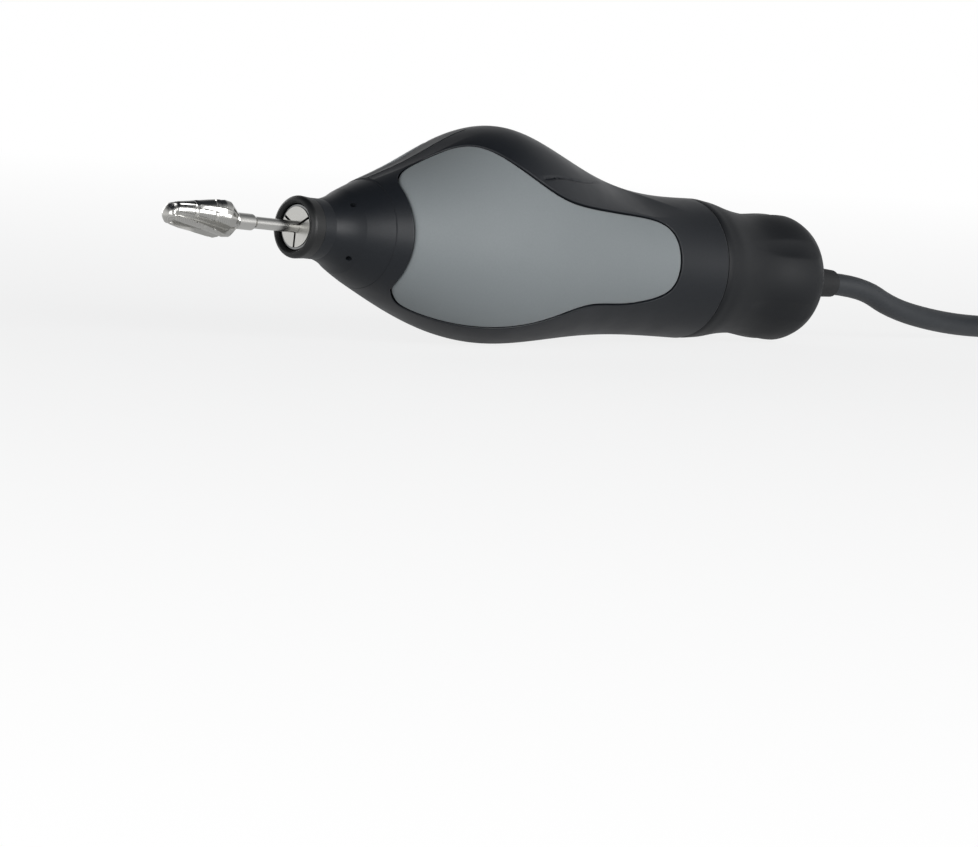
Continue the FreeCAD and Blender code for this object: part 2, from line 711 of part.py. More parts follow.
def drawbar():
    start = s.collet_end - s.collet_socket_length + s.seat_gap
    return turned("drawbar", [
        (start, 0),
        (s.drawbar_end, 0),
        (s.drawbar_end, s.drawbar_radius),
        (start, s.drawbar_radius),
    ])


def disc_springs():
    """Conical washers stacked face to face, drawn as one zigzag ring."""
    folds = int(number(s.spring_pairs)) * 2
    start = s.spring_bore_start + s.seat_gap
    pitch = (s.nut_start - s.seat_gap - start) / folds
    inner = s.drawbar_radius + s.seat_gap
    outline = []
    for step in range(folds + 1):
        outline.append((start + pitch * step, inner + s.spring_dish * (step % 2)))
    for step in range(folds, -1, -1):
        outline.append((start + pitch * step, s.spring_outside - s.spring_dish * ((step + 1) % 2)))
    return turned("disc_springs", outline)


# Ball bearings


def bearing(name, start):
    """Outer ring, inner ring, cage and balls of one bearing; start is its front face."""
    end = start + s.bearing_width
    centre = start + s.bearing_width / 2
    pitch = (s.bearing_bore + s.bearing_outside) / 2
    left = centre - s.race_half_width
    right = centre + s.race_half_width
    outer_ring = turned(name + "_bearing_outer", [
        (start, s.outer_shoulder), (left, s.outer_shoulder), (right, s.outer_shoulder, -s.race_radius),
        (end, s.outer_shoulder), (end, s.bearing_outside), (start, s.bearing_outside),
    ])
    inner_ring = turned(name + "_bearing_inner", [
        (start, s.bearing_bore), (end, s.bearing_bore), (end, s.inner_shoulder),
        (right, s.inner_shoulder), (left, s.inner_shoulder, -s.race_radius), (start, s.inner_shoulder),
    ])
    half = s.cage_thickness / 2
    cage = ring(name + "_bearing_cage", centre - s.cage_half_width, centre + s.cage_half_width,
                pitch - half, pitch + half)
    sketch = new_sketch(cage, name + "_pocket_sketch", "XZ_Plane")
    circle_at(sketch, centre, 0, s.ball_radius + s.pocket_gap)
    pocket = cut_outward(cage, sketch, s.outer_shoulder, name + "_pocket")
    polar(cage, [pocket], s.ball_count, name + "_pockets")
    count = int(number(s.ball_count))
    balls = []
    for index in range(count):
        angle = 2 * math.pi * index / count
        place = Vector(number(centre), -number(pitch) * math.cos(angle), -number(pitch) * math.sin(angle))
        balls.append(Part.makeSphere(number(s.ball_radius), place))
    return [outer_ring, inner_ring, cage, shape_piece(name + "_bearing_balls", Part.makeCompound(balls))]


def bearing_spacer():
    gap = s.seat_gap
    return ring("bearing_spacer", s.front_bearing + s.bearing_width + gap, s.middle_bearing - gap,
                s.outer_shoulder + s.spacer_step, s.bearing_outside)


# Motor


def rotor_magnet():
    return ring("rotor_magnet", s.stator_start, s.stator_end, s.bearing_bore, s.magnet_radius)


def balance_rings():
    body = new_body("balance_rings")
    sketch = new_sketch(body, "balance_profile", "XZ_Plane")
    for start in (s.stator_start - s.balance_width, s.stator_end):
        box_outline(sketch, start, start + s.balance_width, s.bearing_bore, s.magnet_radius - s.balance_step)
    feature = body.newObject("PartDesign::Revolution", "balance_turned")
    feature.Profile = sketch
    feature.ReferenceAxis = (sketch, ["H_Axis"])
    feature.Angle = 360
    return body


def stator_core():
    inner = s.magnet_radius + s.air_gap
    body = ring("stator_core", s.stator_start, s.stator_end, inner, s.stator_radius)
    sketch = new_sketch(body, "slot_sketch", "YZ_Plane", s.stator_start)
    half = s.slot_width / 2
    box_outline(sketch, -half, half, s.slot_inner_radius, s.slot_inner_radius + s.slot_depth)
    slot = cut_forward(body, sketch, s.stator_end - s.stator_start, "winding_slot")
    polar(body, [slot], s.slot_count, "winding_slots")
    return body


def stator_windings():
    """End turns joined by the bars that lie in the slots of the core."""
    inner = s.slot_inner_radius + s.seat_gap
    outer = s.slot_inner_radius + s.slot_depth - s.seat_gap
    half = s.slot_width / 2 - s.seat_gap
    front = s.stator_start - s.seat_gap
    rear = s.stator_end + s.seat_gap
    body = ring("stator_windings", front - s.winding_overhang, front, inner, outer)
    bar_sketch = new_sketch(body, "bar_sketch", "YZ_Plane", front - s.seat_gap)
    box_outline(bar_sketch, -half, half, inner + s.bar_step, outer)
    bar = pad_forward(body, bar_sketch, rear - front + s.seat_gap * 2, "bar")
    polar(body, [bar], s.slot_count, "bars")
    rear_sketch = new_sketch(body, "rear_turns_sketch", "XZ_Plane")
    box_outline(rear_sketch, rear, rear + s.winding_overhang, inner, outer)
    rear_turns = body.newObject("PartDesign::Revolution", "rear_turns")
    rear_turns.Profile = rear_sketch
    rear_turns.ReferenceAxis = (rear_sketch, ["H_Axis"])
    rear_turns.Angle = 360
    return body


def motor_tube():
    inside = s.tube_radius - s.tube_wall
    return turned("motor_tube", [
        (s.tube_start, s.cone_spigot_radius),
        (s.tube_start + s.tube_lip, s.cone_spigot_radius),
        (s.tube_start + s.tube_lip, inside),
        (s.tube_end, inside),
        (s.tube_end, s.tube_radius),
        (s.tube_start, s.tube_radius),
    ])


def bearing_carrier():
    seat = s.bearing_outside + s.seat_gap
    outside = s.tube_radius - s.tube_wall - s.seat_gap
    spring_room = s.rear_bearing + s.bearing_width + s.preload_room
    return turned("bearing_carrier", [
        (s.carrier_start, seat),
        (spring_room, seat),
        (spring_room, s.outer_shoulder),
        (s.carrier_end, s.outer_shoulder),
        (s.carrier_end, outside),
        (s.carrier_start, outside),
    ])


def preload_spring():
    start = s.rear_bearing + s.bearing_width + s.seat_gap
    return ring("preload_spring", start, start + s.preload_thickness, s.outer_shoulder + s.preload_step,
                s.bearing_outside - s.seat_gap * 2)


def sensor_board():
    outside = s.tube_radius - s.tube_wall - s.seat_gap * 2
    body = ring("sensor_board", s.board_position, s.board_position + s.board_thickness, s.board_bore, outside)
    sketch = new_sketch(body, "sensor_sketch", "YZ_Plane", s.board_position - s.sensor_height)
    half = s.sensor_width / 2
    low = s.magnet_radius + s.sensor_step
    box_outline(sketch, -half, half, low, low + s.sensor_depth)
    sensor = pad_forward(body, sketch, s.sensor_height + OVERLAP, "sensor")
    polar(body, [sensor], s.sensor_count, "sensors")
    return body


def fan():
    disc_end = s.fan_start + s.fan_disc
    hub = s.bearing_bore + s.fan_hub_wall
    body = turned("fan", [
        (s.fan_start, s.bearing_bore),
        (s.fan_end, s.bearing_bore),
        (s.fan_end, hub),
        (disc_end, hub),
        (disc_end, s.fan_radius),
        (s.fan_start, s.fan_radius),
    ])
    sketch = new_sketch(body, "blade_sketch", "YZ_Plane", disc_end - OVERLAP)
    half = s.fan_blade_thickness / 2
    box_outline(sketch, -half, half, hub - OVERLAP, s.fan_radius - OVERLAP)
    blade = pad_forward(body, sketch, s.fan_end - disc_end + OVERLAP, "blade")
    polar(body, [blade], s.fan_blades, "blades")
    return body


# Release


def drawbar_nut():
    return ring("drawbar_nut", s.nut_start, s.drawbar_end, s.drawbar_radius + s.seat_gap, s.nut_radius)


def cam_pin_place():
    """Place of the cross pin on the axis when the sleeve is shut."""
    return s.pusher_head_start + s.pusher_head_length / 2


def release_pusher():
    head = s.barrel_bore - s.running_gap
    head_end = s.pusher_head_start + s.pusher_head_length
    body = turned("release_pusher", [
        (s.pusher_start, 0),
        (head_end, 0),
        (head_end, head),
        (s.pusher_head_start, head),
        (s.pusher_head_start, s.pusher_radius),
        (s.pusher_start, s.pusher_radius),
    ])
    sketch = new_sketch(body, "cross_hole_sketch", "XZ_Plane")
    circle_at(sketch, cam_pin_place(), 0, s.pin_radius + s.seat_gap)
    hole = cut_outward(body, sketch, s.barrel_radius, "cross_hole")
    polar(body, [hole], 2, "cross_holes")
    return body


def cam_pin():
    pin = document.addObject("Part::Cylinder", "cam_pin")
    pin.Label = "cam_pin"
    reach = s.cam_ring_outside - s.running_gap * 4
    bind(pin, "Radius", s.pin_radius)
    bind(pin, "Height", reach * 2)
    pin.Placement = Placement(Vector(0, 0, 0), Rotation(Vector(1, 0, 0), 90))
    bind(pin, "Placement.Base.x", cam_pin_place())
    bind(pin, "Placement.Base.y", reach)
    return pin


def cam_ring():
    body = ring("cam_ring", s.cam_ring_start, s.cam_ring_end, s.cam_ring_bore, s.cam_ring_outside)
    sketch = new_sketch(body, "cam_slot_sketch", "XZ_Plane")
    tilt_sketch(sketch, -number(s.release_twist) / 2)
    half_turn = sine(s.release_twist / 2)
    reach = s.cam_ring_outside * half_turn + s.pin_radius + s.cam_slot_gap
    lean = s.release_travel / 2 * (reach / (s.cam_ring_outside * half_turn) - 1)
    half = s.pin_radius + s.cam_slot_gap
    shut = cam_pin_place() + lean
    opened = cam_pin_place() - s.release_travel - lean
    closed_outline(sketch, [
        (shut - half, -reach), (shut + half, -reach), (opened + half, reach), (opened - half, reach),
    ])
    slot = cut_outward(body, sketch, s.cam_ring_outside * OVERCUT, "cam_slot")
    polar(body, [slot], 2, "cam_slots")
    return body


def rear_frame():
    seat = s.shell_bore - s.seat_gap
    groove = seat - s.o_ring_radius * 2 - s.seat_gap
    flange_end = s.frame_start + s.flange_length
    guide_end = s.guide_start + s.guide_length
    guide = s.pusher_radius + s.running_gap
    ring_end = s.ring_start + s.ring_width
    body = turned("rear_frame", [
        (s.frame_start, s.barrel_bore),
        (s.guide_start, s.barrel_bore),
        (s.guide_start, guide),
        (guide_end, guide),
        (guide_end, s.barrel_bore),
        (s.barrel_end, s.barrel_bore),
        (s.barrel_end, s.barrel_radius),
        (ring_end + s.seat_gap, s.barrel_radius),
        (ring_end + s.seat_gap, s.ring_groove),
        (s.ring_start - s.seat_gap, s.ring_groove),
        (s.ring_start - s.seat_gap, s.barrel_radius),
        (flange_end, s.barrel_radius),
        (flange_end, seat),
        (s.rear_o_ring + s.o_ring_radius + s.seat_gap, seat),
        (s.rear_o_ring + s.o_ring_radius + s.seat_gap, groove),
        (s.rear_o_ring - s.o_ring_radius - s.seat_gap, groove),
        (s.rear_o_ring - s.o_ring_radius - s.seat_gap, seat),
        (s.frame_start, seat),
    ])
    sketch = new_sketch(body, "guide_slot_sketch", "XZ_Plane")
    half = s.pin_radius + s.running_gap
    box_outline(sketch, cam_pin_place() - s.release_travel - half * OVERCUT, cam_pin_place() + half * OVERCUT,
                -half, half)
    slot = cut_outward(body, sketch, s.barrel_radius * OVERCUT, "guide_slot")
    polar(body, [slot], 2, "guide_slots")
    return body


def retaining_ring():
    body = ring("retaining_ring", s.ring_start, s.ring_start + s.ring_width,
                s.ring_groove + s.seat_gap, s.ring_outside)
    sketch = new_sketch(body, "ring_gap_sketch", "YZ_Plane", s.ring_start)
    half = s.ring_opening / 2
    box_outline(sketch, -half, half, -s.ring_outside * OVERCUT, -s.barrel_bore)
    cut_forward(body, sketch, s.ring_width, "ring_gap")
    return body


def release_sleeve():
    cam_room = s.cam_ring_outside + s.seat_gap
    cam_end = s.cam_ring_end + s.seat_gap
    bore = s.barrel_radius + s.running_gap
    front = s.shell_end + s.sleeve_gap
    body = turned("release_sleeve", [
        (front, cam_room),
        (cam_end, cam_room),
        (cam_end, bore),
        (s.sleeve_bore_end, bore),
        (s.sleeve_bore_end, s.sleeve_cap_radius),
        (s.sleeve_end, s.sleeve_cap_radius),
        (s.sleeve_end, s.sleeve_cap_radius + s.sleeve_rim),
        (s.heel_place, s.heel_radius, s.heel_curve),
        (s.swell_place, s.swell_radius, s.swell_curve),
        (s.slim_place, s.slim_radius, -s.slim_curve),
        (s.flare_place, s.flare_radius, -s.flare_curve),
        (front, s.end_side, s.sleeve_front_curve),
    ])
    flute = body.newObject("PartDesign::SubtractiveCylinder", "flute")
    bind(flute, "Radius", s.flute_radius)
    bind(flute, "Height", (s.sleeve_end - s.flare_place) * OVERCUT)
    rear_reach = number(s.heel_radius - s.flute_depth + s.flute_radius)
    front_reach = number(s.flare_radius + s.flute_radius)
    run = number(s.sleeve_end - s.flare_place)
    lean = math.degrees(math.atan2(front_reach - rear_reach, run))
    flute.Placement = Placement(Vector(number(s.flare_place), 0, front_reach),
                                Rotation(Vector(0, 1, 0), 90 + lean))
    polar(body, [flute], s.flute_count, "flutes")
    return body


def rear_cap():
    hole = s.gland_radius - s.gland_step
    spigot = s.barrel_bore - s.seat_gap
    spigot_start = s.cap_start - s.cap_spigot_length
    return turned("rear_cap", [
        (spigot_start, spigot - s.cap_spigot_wall),
        (s.cap_start, spigot - s.cap_spigot_wall),
        (s.cap_start, hole),
        (s.cap_end, hole),
        (s.cap_end, s.cap_radius - s.cap_round),
        (s.cap_end - s.cap_round, s.cap_radius, s.cap_round),
        (s.cap_start, s.cap_radius),
        (s.cap_start, spigot),
        (spigot_start, spigot),
    ])


def cord_gland():
    neck = s.gland_radius - s.gland_step - s.seat_gap
    foot_start = s.cap_start - s.gland_foot_length
    return turned("cord_gland", [
        (foot_start, 0),
        (s.gland_end, 0),
        (s.gland_end, s.gland_tip_radius),
        (s.cap_end + s.seat_gap, s.gland_radius),
        (s.cap_end + s.seat_gap, neck),
        (s.cap_start - s.seat_gap, neck),
        (s.cap_start - s.seat_gap, neck + s.gland_foot_width),
        (foot_start, neck + s.gland_foot_width),
    ])


# Grip shell and pads


def smooth_loop(points):
    """A closed smooth edge through points that are evenly spaced along it."""
    curve = Part.BSplineCurve()
    curve.interpolate(Points=points, PeriodicFlag=True, Parameters=list(range(len(points) + 1)))
    return curve.toShape()


def grip_half_axes(name):
    """Height above the axis, depth below it and half width of a grip section."""
    base = s.cone_end_radius if name == "front" else s.shell_bore
    return [base + getattr(s, name + over) for over in ("_over_top", "_over_belly", "_over_side")]


def grip_solid(inset):
    """The grip's outer form, drawn in by inset all round."""
    wires = []
    for name, place, above, below, side in GRIP_SECTIONS:
        station = number(getattr(s, name + "_place"))
        top, bottom, half_width = (number(size) - inset for size in grip_half_axes(name))
        points = []
        for step in range(GRIP_SPOKES):
            angle = math.radians(360 / GRIP_SPOKES * step - 90)
            height = top if math.sin(angle) > 0 else bottom
            points.append(Vector(station, half_width * math.cos(angle), height * math.sin(angle)))
        wires.append(Part.Wire([smooth_loop(points)]))
    return Part.makeLoft(wires, True, False)


def radial_wall(grow):
    """The wall that runs from the spindle axis through the outline of the near pad, grown by a length."""
    middle = Vector(sum(point[0] for point in PAD_OUTLINE) / len(PAD_OUTLINE), 0, 0)
    mean_radius = number(s.crest_side)
    edges = []
    for reach in (number(s.barrel_radius), number(s.crest_above) * OVERCUT):
        points = []
        count = len(PAD_OUTLINE)
        for index in range(count):
            place, angle = PAD_OUTLINE[index]
            before = PAD_OUTLINE[index - 1]
            after = PAD_OUTLINE[(index + 1) % count]
            run = Vector(after[0] - before[0], math.radians(after[1] - before[1]) * mean_radius, 0)
            out = Vector(-run.y, run.x, 0).normalize() * grow
            turn = math.radians(angle) + out.y / mean_radius
            points.append(Vector(place + out.x, -reach * math.cos(turn), reach * math.sin(turn)))
        edges.append(smooth_loop(points))
    return Part.makeRuledSurface(edges[0], edges[1])


def pad_block(depth, grow, proud):
    """The block within the near pad's outline, from a height above the grip down to a depth in it."""
    layer = grip_solid(-proud).cut(grip_solid(depth))
    pieces = BOPTools.SplitAPI.slice(layer, [radial_wall(grow)], "Split")
    probe = Vector(number(s.crest_place), -number(s.crest_side) + depth / 2, 0)
    for solid in pieces.Solids:
        if solid.isInside(probe, 0.01, True):
            return solid
    raise ValueError("the pad's outline cuts nothing out of the shell")


def grip_reach(place, angle):
    """Distance of the grip's surface from the axis, at an angle above the side."""
    far = number(s.crest_above) * OVERCUT
    ray = Part.makeLine(Vector(place, 0, 0), Vector(place, -far * math.cos(angle), far * math.sin(angle)))
    return ray.common(grip_solid(0)).Length


def scoop():
    """The lens-shaped hollow above the near pad, lofted through arcs that dip under the grip's surface."""
    wires = []
    for place, low, high, depth in SCOOP_SECTIONS:
        corners = []
        middle = (low + high) / 2
        for angle, sink in ((low, 0), (middle, depth), (high, 0), (high, -SCOOP_ROOM), (low, -SCOOP_ROOM)):
            turn = math.radians(angle)
            reach = grip_reach(place, turn) - sink + (-depth if depth < 0 and sink == 0 else 0)
            corners.append(Vector(place, -reach * math.cos(turn), reach * math.sin(turn)))
        hollow = Part.Arc(corners[0], corners[1], corners[2]).toShape()
        rest = Part.makePolygon([corners[2], corners[3], corners[4], corners[0]])
        wires.append(Part.Wire([hollow] + rest.Edges))
    return Part.makeLoft(wires, True, False)


def grip():
    """The shell with its hollows, webs, pad recesses and parting line, and the two pads."""
    recess = pad_block(number(s.pad_depth), number(s.pad_gap), number(s.pad_depth))
    near_pad = pad_block(number(s.pad_depth - s.pad_gap / 2), 0, 0)
    mirror = (Vector(0, 0, 0), Vector(0, 1, 0))
    start = number(s.cone_end)
    bore_start = number(s.tube_start - s.shell_gap)
    bore = Part.makeCylinder(number(s.shell_bore), number(s.shell_end) - bore_start,
                             Vector(bore_start, 0, 0), Vector(1, 0, 0))
    front_bore = Part.makeCylinder(number(s.cone_spigot_radius + s.seat_gap), bore_start - start,
                                   Vector(start, 0, 0), Vector(1, 0, 0))
    cavity_length = number(s.cavity_end - s.cavity_start)
    width = number(s.crest_above) * 2
    room = Part.makeBox(cavity_length, width, width, Vector(number(s.cavity_start), -width / 2, -width / 2))
    for web in (s.front_web, s.rear_web):
        slab = Part.makeBox(number(s.web_width), width, width, Vector(number(web), -width / 2, -width / 2))
        room = room.cut(slab)
    cavity = grip_solid(number(s.shell_wall)).common(room)
    hollow = scoop()
    half_seam = number(s.seam_width) / 2
    blade = Part.makeBox(number(s.seam_end) - start, half_seam * 2, width, Vector(start, -half_seam, 0))
    seam = blade.cut(grip_solid(number(s.seam_depth)))
    shell = grip_solid(0).cut([bore, front_bore, cavity, recess, recess.mirror(*mirror)])
    shell = shell.cut([hollow, hollow.mirror(*mirror), seam])
    return [
        shape_piece("grip_shell", shell),
        shape_piece("left_grip_pad", near_pad),
        shape_piece("right_grip_pad", near_pad.mirror(*mirror)),
    ]


# Cord, hank and plug, in the frame of the whole part


def cord_path(points):
    """Straight runs joined by the largest arcs that both runs allow, and the radii of those arcs."""
    edges = []
    radii = []
    start = points[0]
    for index in range(1, len(points) - 1):
        before = points[index] - points[index - 1]
        after = points[index + 1] - points[index]
        turn = before.getAngle(after)
        radius = 0.45 * min(before.Length, after.Length) / math.tan(turn / 2)
        setback = radius * math.tan(turn / 2)
        before.normalize()
        after.normalize()
        first = points[index] - before * setback
        last = points[index] + after * setback
        inward = (after - before).normalize()
        middle = points[index] + inward * (radius / math.cos(turn / 2) - radius)
        edges.append(Part.LineSegment(start, first).toShape())
        edges.append(Part.Arc(first, middle, last).toShape())
        start = last
        radii.append(radius)
    edges.append(Part.LineSegment(start, points[-1]).toShape())
    return Part.Wire(edges), radii


def cord_tube(label, points, least_bend):
    """A round tube along straight runs and arcs, checked for its bends and its volume."""
    radius = number(s.cord_radius)
    path, radii = cord_path(points)
    circle = Part.Wire([Part.Circle(points[0], points[1] - points[0], radius).toShape()])
    tube = path.makePipeShell([circle], True, True)
    expected = math.pi * radius * radius * path.Length
    print(label, [tuple(round(value, 1) for value in point) for point in points])
    print(label, "bend radii", [round(value, 1) for value in radii])
    print(label, "volume", round(tube.Volume, 1), "section times length", round(expected, 1))
    if min(radii) < least_bend:
        raise ValueError("a bend of the cord is too tight")
    if abs(tube.Volume / expected - 1) > 0.01:
        raise ValueError("the cord tube has the wrong volume")
    return shape_piece(label, tube)


def cord_lead(lie_down):
    exit_point = lie_down.multVec(Vector(number(s.gland_end), 0, 0))
    direction = lie_down.Rotation.multVec(Vector(1, 0, 0))
    points = [exit_point, exit_point + direction * CORD_FIRST_RUN]
    points.extend(Vector(*point) for point in CORD_ROUTE)
    return cord_tube("cord_lead", points, CORD_LEAST_BEND)


def cord_tail():
    return cord_tube("cord_tail", [Vector(*point) for point in TAIL_ROUTE], TAIL_LEAST_BEND)


def cord_hank():
    """The wound cord: long turns side by side and on each other, with bevelled rims."""
    width = number(s.cord_radius * 2 * s.hank_columns)
    outer = number(s.hank_fold + s.cord_radius)
    height = number(s.cord_radius * 2 * s.hank_layers)
    half = number(s.hank_run) / 2
    solids = []
    for radius in (outer, outer - width):
        block = Part.makeBox(half * 2, radius * 2, height, Vector(-half, -radius, 0))
        for end in (-half, half):
            block = block.fuse(Part.makeCylinder(radius, height, Vector(end, 0, 0)))
        solids.append(block.removeSplitter())
    hank = solids[0].cut(solids[1])
    rims = []
    for edge in hank.Edges:
        box = edge.BoundBox
        if box.ZLength < 0.01 and (box.ZMin < 0.01 or box.ZMin > height - 0.01):
            rims.append(edge)
    hank = hank.makeChamfer(number(s.hank_bevel), rims)
    hank.translate(Vector(HANK_CENTRE[0], HANK_CENTRE[1], 0))
    return shape_piece("cord_hank", hank)


def cord_tie():
    """A strap over the wound cord, from floor to floor."""
    half = s.hank_fold + s.cord_radius + s.tie_gap
    top = s.cord_radius * 2 * s.hank_layers + s.tie_gap
    wall = s.tie_thickness
    body = new_body("cord_tie")
    sketch = new_sketch(body, "tie_profile", "YZ_Plane")
    closed_outline(sketch, [
        (-half - wall, 0), (-half, 0), (-half, top), (half, top), (half, 0),
        (half + wall, 0), (half + wall, top), (half, top + wall, wall), (-half, top + wall),
        (-half - wall, top, wall),
    ])
    pad = body.newObject("PartDesign::Pad", "tie_strap")
    pad.Profile = sketch
    pad.Midplane = True
    bind(pad, "Length", s.tie_width)
    body.Placement = Placement(Vector(TIE_PLACE, HANK_CENTRE[1], 0), Rotation())
    return body


def plug():
    """Boot, shell, barrel, insulator and pins, drawn along X from the boot's thin end."""
    shell_start = s.plug_boot_length
    shell_end = shell_start + s.plug_shell_length
    barrel_end = shell_end + s.plug_barrel_length
    barrel_inside = s.plug_barrel_radius - s.plug_barrel_wall
    boot = turned("plug_boot", [
        (0, 0), (shell_start, 0), (shell_start, s.plug_shell_radius - s.plug_round),
        (0, s.cord_radius + s.plug_boot_wall),
    ])
    barrel_start = shell_end - s.plug_seat
    seat = s.plug_barrel_radius - s.plug_seat_step
    shell = turned("plug_shell", [
        (shell_start, 0), (barrel_start, 0), (barrel_start, seat + s.seat_gap),
        (shell_end, seat + s.seat_gap), (shell_end, s.plug_shell_radius - s.plug_edge),
        (shell_end - s.plug_edge, s.plug_shell_radius), (shell_start + s.plug_round, s.plug_shell_radius),
        (shell_start, s.plug_shell_radius - s.plug_round, s.plug_round),
    ])
    barrel = turned("plug_barrel", [
        (barrel_start, barrel_inside), (barrel_end, barrel_inside), (barrel_end, s.plug_barrel_radius),
        (shell_end, s.plug_barrel_radius), (shell_end, seat), (barrel_start, seat),
    ])
    insulator_end = shell_end + s.insulator_reach
    insulator = ring("plug_insulator", barrel_start, insulator_end,
                     s.insulator_bore, barrel_inside - s.seat_gap)
    circle = number(s.plug_pin_circle)
    length = number(s.plug_pin_length)
    pins = []
    count = int(number(s.plug_pin_count))
    for index in range(count):
        angle = 2 * math.pi * index / count
        place = Vector(number(insulator_end), circle * math.cos(angle), circle * math.sin(angle))
        pins.append(Part.makeCylinder(number(s.plug_pin_radius), length, place, Vector(1, 0, 0)))
    pin_group = shape_piece("plug_pins", Part.makeCompound(pins))
    pieces = [boot, shell, barrel, insulator, pin_group]
    for piece in pieces:
        piece.Placement = Placement(Vector(*TAIL_ROUTE[-1]) - Vector(PLUG_GRIP, 0, 0), Rotation())
    return pieces


# The whole part


def sine(size):
    """The sine of an angle in degrees."""
    return Size(math.sin(math.radians(size.value)), "sin(%s * 1deg)" % size.text)


def handpiece_pieces():
    """Every sub-part that is drawn about the spindle axis."""
    pieces = [nose_ring(), dust_seal(), nose_cone()]
    pieces.append(o_ring("front_o_ring", s.front_o_ring, s.cone_spigot_radius))
    pieces.append(o_ring("rear_o_ring", s.rear_o_ring, s.shell_bore - s.seat_gap))
    pieces.extend([spindle(), collet(), cutter_shank(), cutter_head()])
    pieces.extend([drawbar(), disc_springs(), drawbar_nut()])
    for name, start in (("front", s.front_bearing), ("middle", s.middle_bearing), ("rear", s.rear_bearing)):
        pieces.extend(bearing(name, start))
    pieces.extend([bearing_spacer(), rotor_magnet(), balance_rings(), stator_core(), stator_windings()])
    pieces.extend([motor_tube(), bearing_carrier(), preload_spring(), sensor_board(), fan()])
    pieces.extend([release_pusher(), cam_pin(), cam_ring(), rear_frame(), retaining_ring()])
    pieces.extend([release_sleeve(), rear_cap(), cord_gland()])
    pieces.extend(grip())
    return pieces


def lie_on_floor(pieces):
    """The placement that rests the grip's belly and the sleeve's heel on z = 0, centred over the origin."""
    drop = number(s.crest_below - s.heel_radius)
    run = number(s.heel_place - s.crest_place)
    tilt = Placement(Vector(0, 0, 0), Rotation(Vector(0, 1, 0), math.degrees(math.atan2(drop, run))))
    box = FreeCAD.BoundBox()
    for piece in pieces:
        shape = piece.Shape.copy()
        shape.Placement = tilt.multiply(shape.Placement)
        box.add(shape.optimalBoundingBox(False))
    shift = Placement(Vector(-(box.XMin + box.XMax) / 2, 0, -box.ZMin), Rotation())
    return shift.multiply(tilt)


def check(piece):
    """Stop if a sub-part failed, is empty or is not sound."""
    if "Invalid" in piece.State or "Error" in piece.State:
        raise ValueError("%s failed" % piece.Label)
    if piece.Shape.isNull() or not piece.Shape.isValid() or not piece.Shape.Solids:
        raise ValueError("%s has no sound solid" % piece.Label)


def main():
    pieces = handpiece_pieces()
    document.recompute()
    for piece in pieces:
        check(piece)
    lie_down = lie_on_floor(pieces)
    for piece in pieces:
        place = lie_down.multiply(piece.Placement)
        for path, text in piece.ExpressionEngine:
            if "Placement" in path:
                piece.setExpression(path, None)
        piece.Placement = place
    pieces.extend([cord_lead(lie_down), cord_hank(), cord_tail(), cord_tie()])
    pieces.extend(plug())
    document.recompute()
    print("tilt", round(lie_down.Rotation.Angle * 180 / math.pi, 3), "shift", lie_down.Base)
    os.makedirs("parts", exist_ok=True)
    for thing in document.Objects:
        if "Invalid" in thing.State or "Error" in thing.State:
            raise ValueError("%s failed" % thing.Name)
    for piece in pieces:
        check(piece)
        piece.Shape.exportStep(os.path.join("parts", piece.Label + ".step"))
    print(len(pieces), "sub-parts written")


main()
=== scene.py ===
import json
import math

import bmesh
import bpy
import numpy as np
from mathutils import Matrix, Vector


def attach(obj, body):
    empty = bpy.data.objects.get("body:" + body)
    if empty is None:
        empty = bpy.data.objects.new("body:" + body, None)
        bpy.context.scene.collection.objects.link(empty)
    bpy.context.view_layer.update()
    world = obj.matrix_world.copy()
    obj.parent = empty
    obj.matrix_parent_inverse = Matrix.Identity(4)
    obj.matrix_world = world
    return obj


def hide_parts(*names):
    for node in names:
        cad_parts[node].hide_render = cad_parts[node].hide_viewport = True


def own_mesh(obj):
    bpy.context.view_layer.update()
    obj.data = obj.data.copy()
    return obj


bl_info = {
    "name": "Micromotor handpiece",
    "version": (1, 0, 0),
    "blender": (4, 5, 0),
    "location": "View3D > Sidebar > Handpiece",
    "description": "Builds the grip, the pads, the sleeve, the cutter and the cord of a laboratory handpiece",
    "category": "Object",
}

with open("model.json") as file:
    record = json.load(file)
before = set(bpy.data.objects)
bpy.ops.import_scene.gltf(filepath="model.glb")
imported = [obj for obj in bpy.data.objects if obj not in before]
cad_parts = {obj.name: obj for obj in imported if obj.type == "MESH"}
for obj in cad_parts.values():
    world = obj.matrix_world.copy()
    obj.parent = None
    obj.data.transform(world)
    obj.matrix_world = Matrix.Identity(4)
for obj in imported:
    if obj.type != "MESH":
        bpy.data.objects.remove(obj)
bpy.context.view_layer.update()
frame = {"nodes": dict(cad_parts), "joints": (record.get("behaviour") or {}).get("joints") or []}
JOINTS = {joint["name"]: joint for joint in frame["joints"]}
SPINDLE_FRONT = Vector(JOINTS["spindle_spin"]["pos_m"])
SPINDLE_AXIS = Vector(JOINTS["spindle_spin"]["axis"])
TILT = math.atan2(-SPINDLE_AXIS.z, SPINDLE_AXIS.x)
# Pieces of the handpiece are drawn in millimetres with the spindle axis as X and the nose at x = 0.
LIE = Matrix.Translation(SPINDLE_FRONT) @ Matrix.Rotation(TILT, 4, "Y") @ Matrix.Scale(0.001, 4)
MILLIMETRES = Matrix.Scale(0.001, 4)

# Sections of the grip: place on the axis, height above it, depth below it, half width
GRIP_SECTIONS = [
    (17.4, 10.8, 10.6, 10.6), (28.475, 15.7, 14.7, 14.9), (39.55, 21.4, 17.85, 17.85),
    (50.625, 23.8, 19.0, 18.85), (61.7, 21.2, 18.0, 17.85), (72.775, 17.3, 16.25, 16.1),
    (83.85, 14.7, 14.95, 14.8), (94.925, 13.8, 14.4, 14.2), (106.0, 14.1, 14.2, 14.2),
]
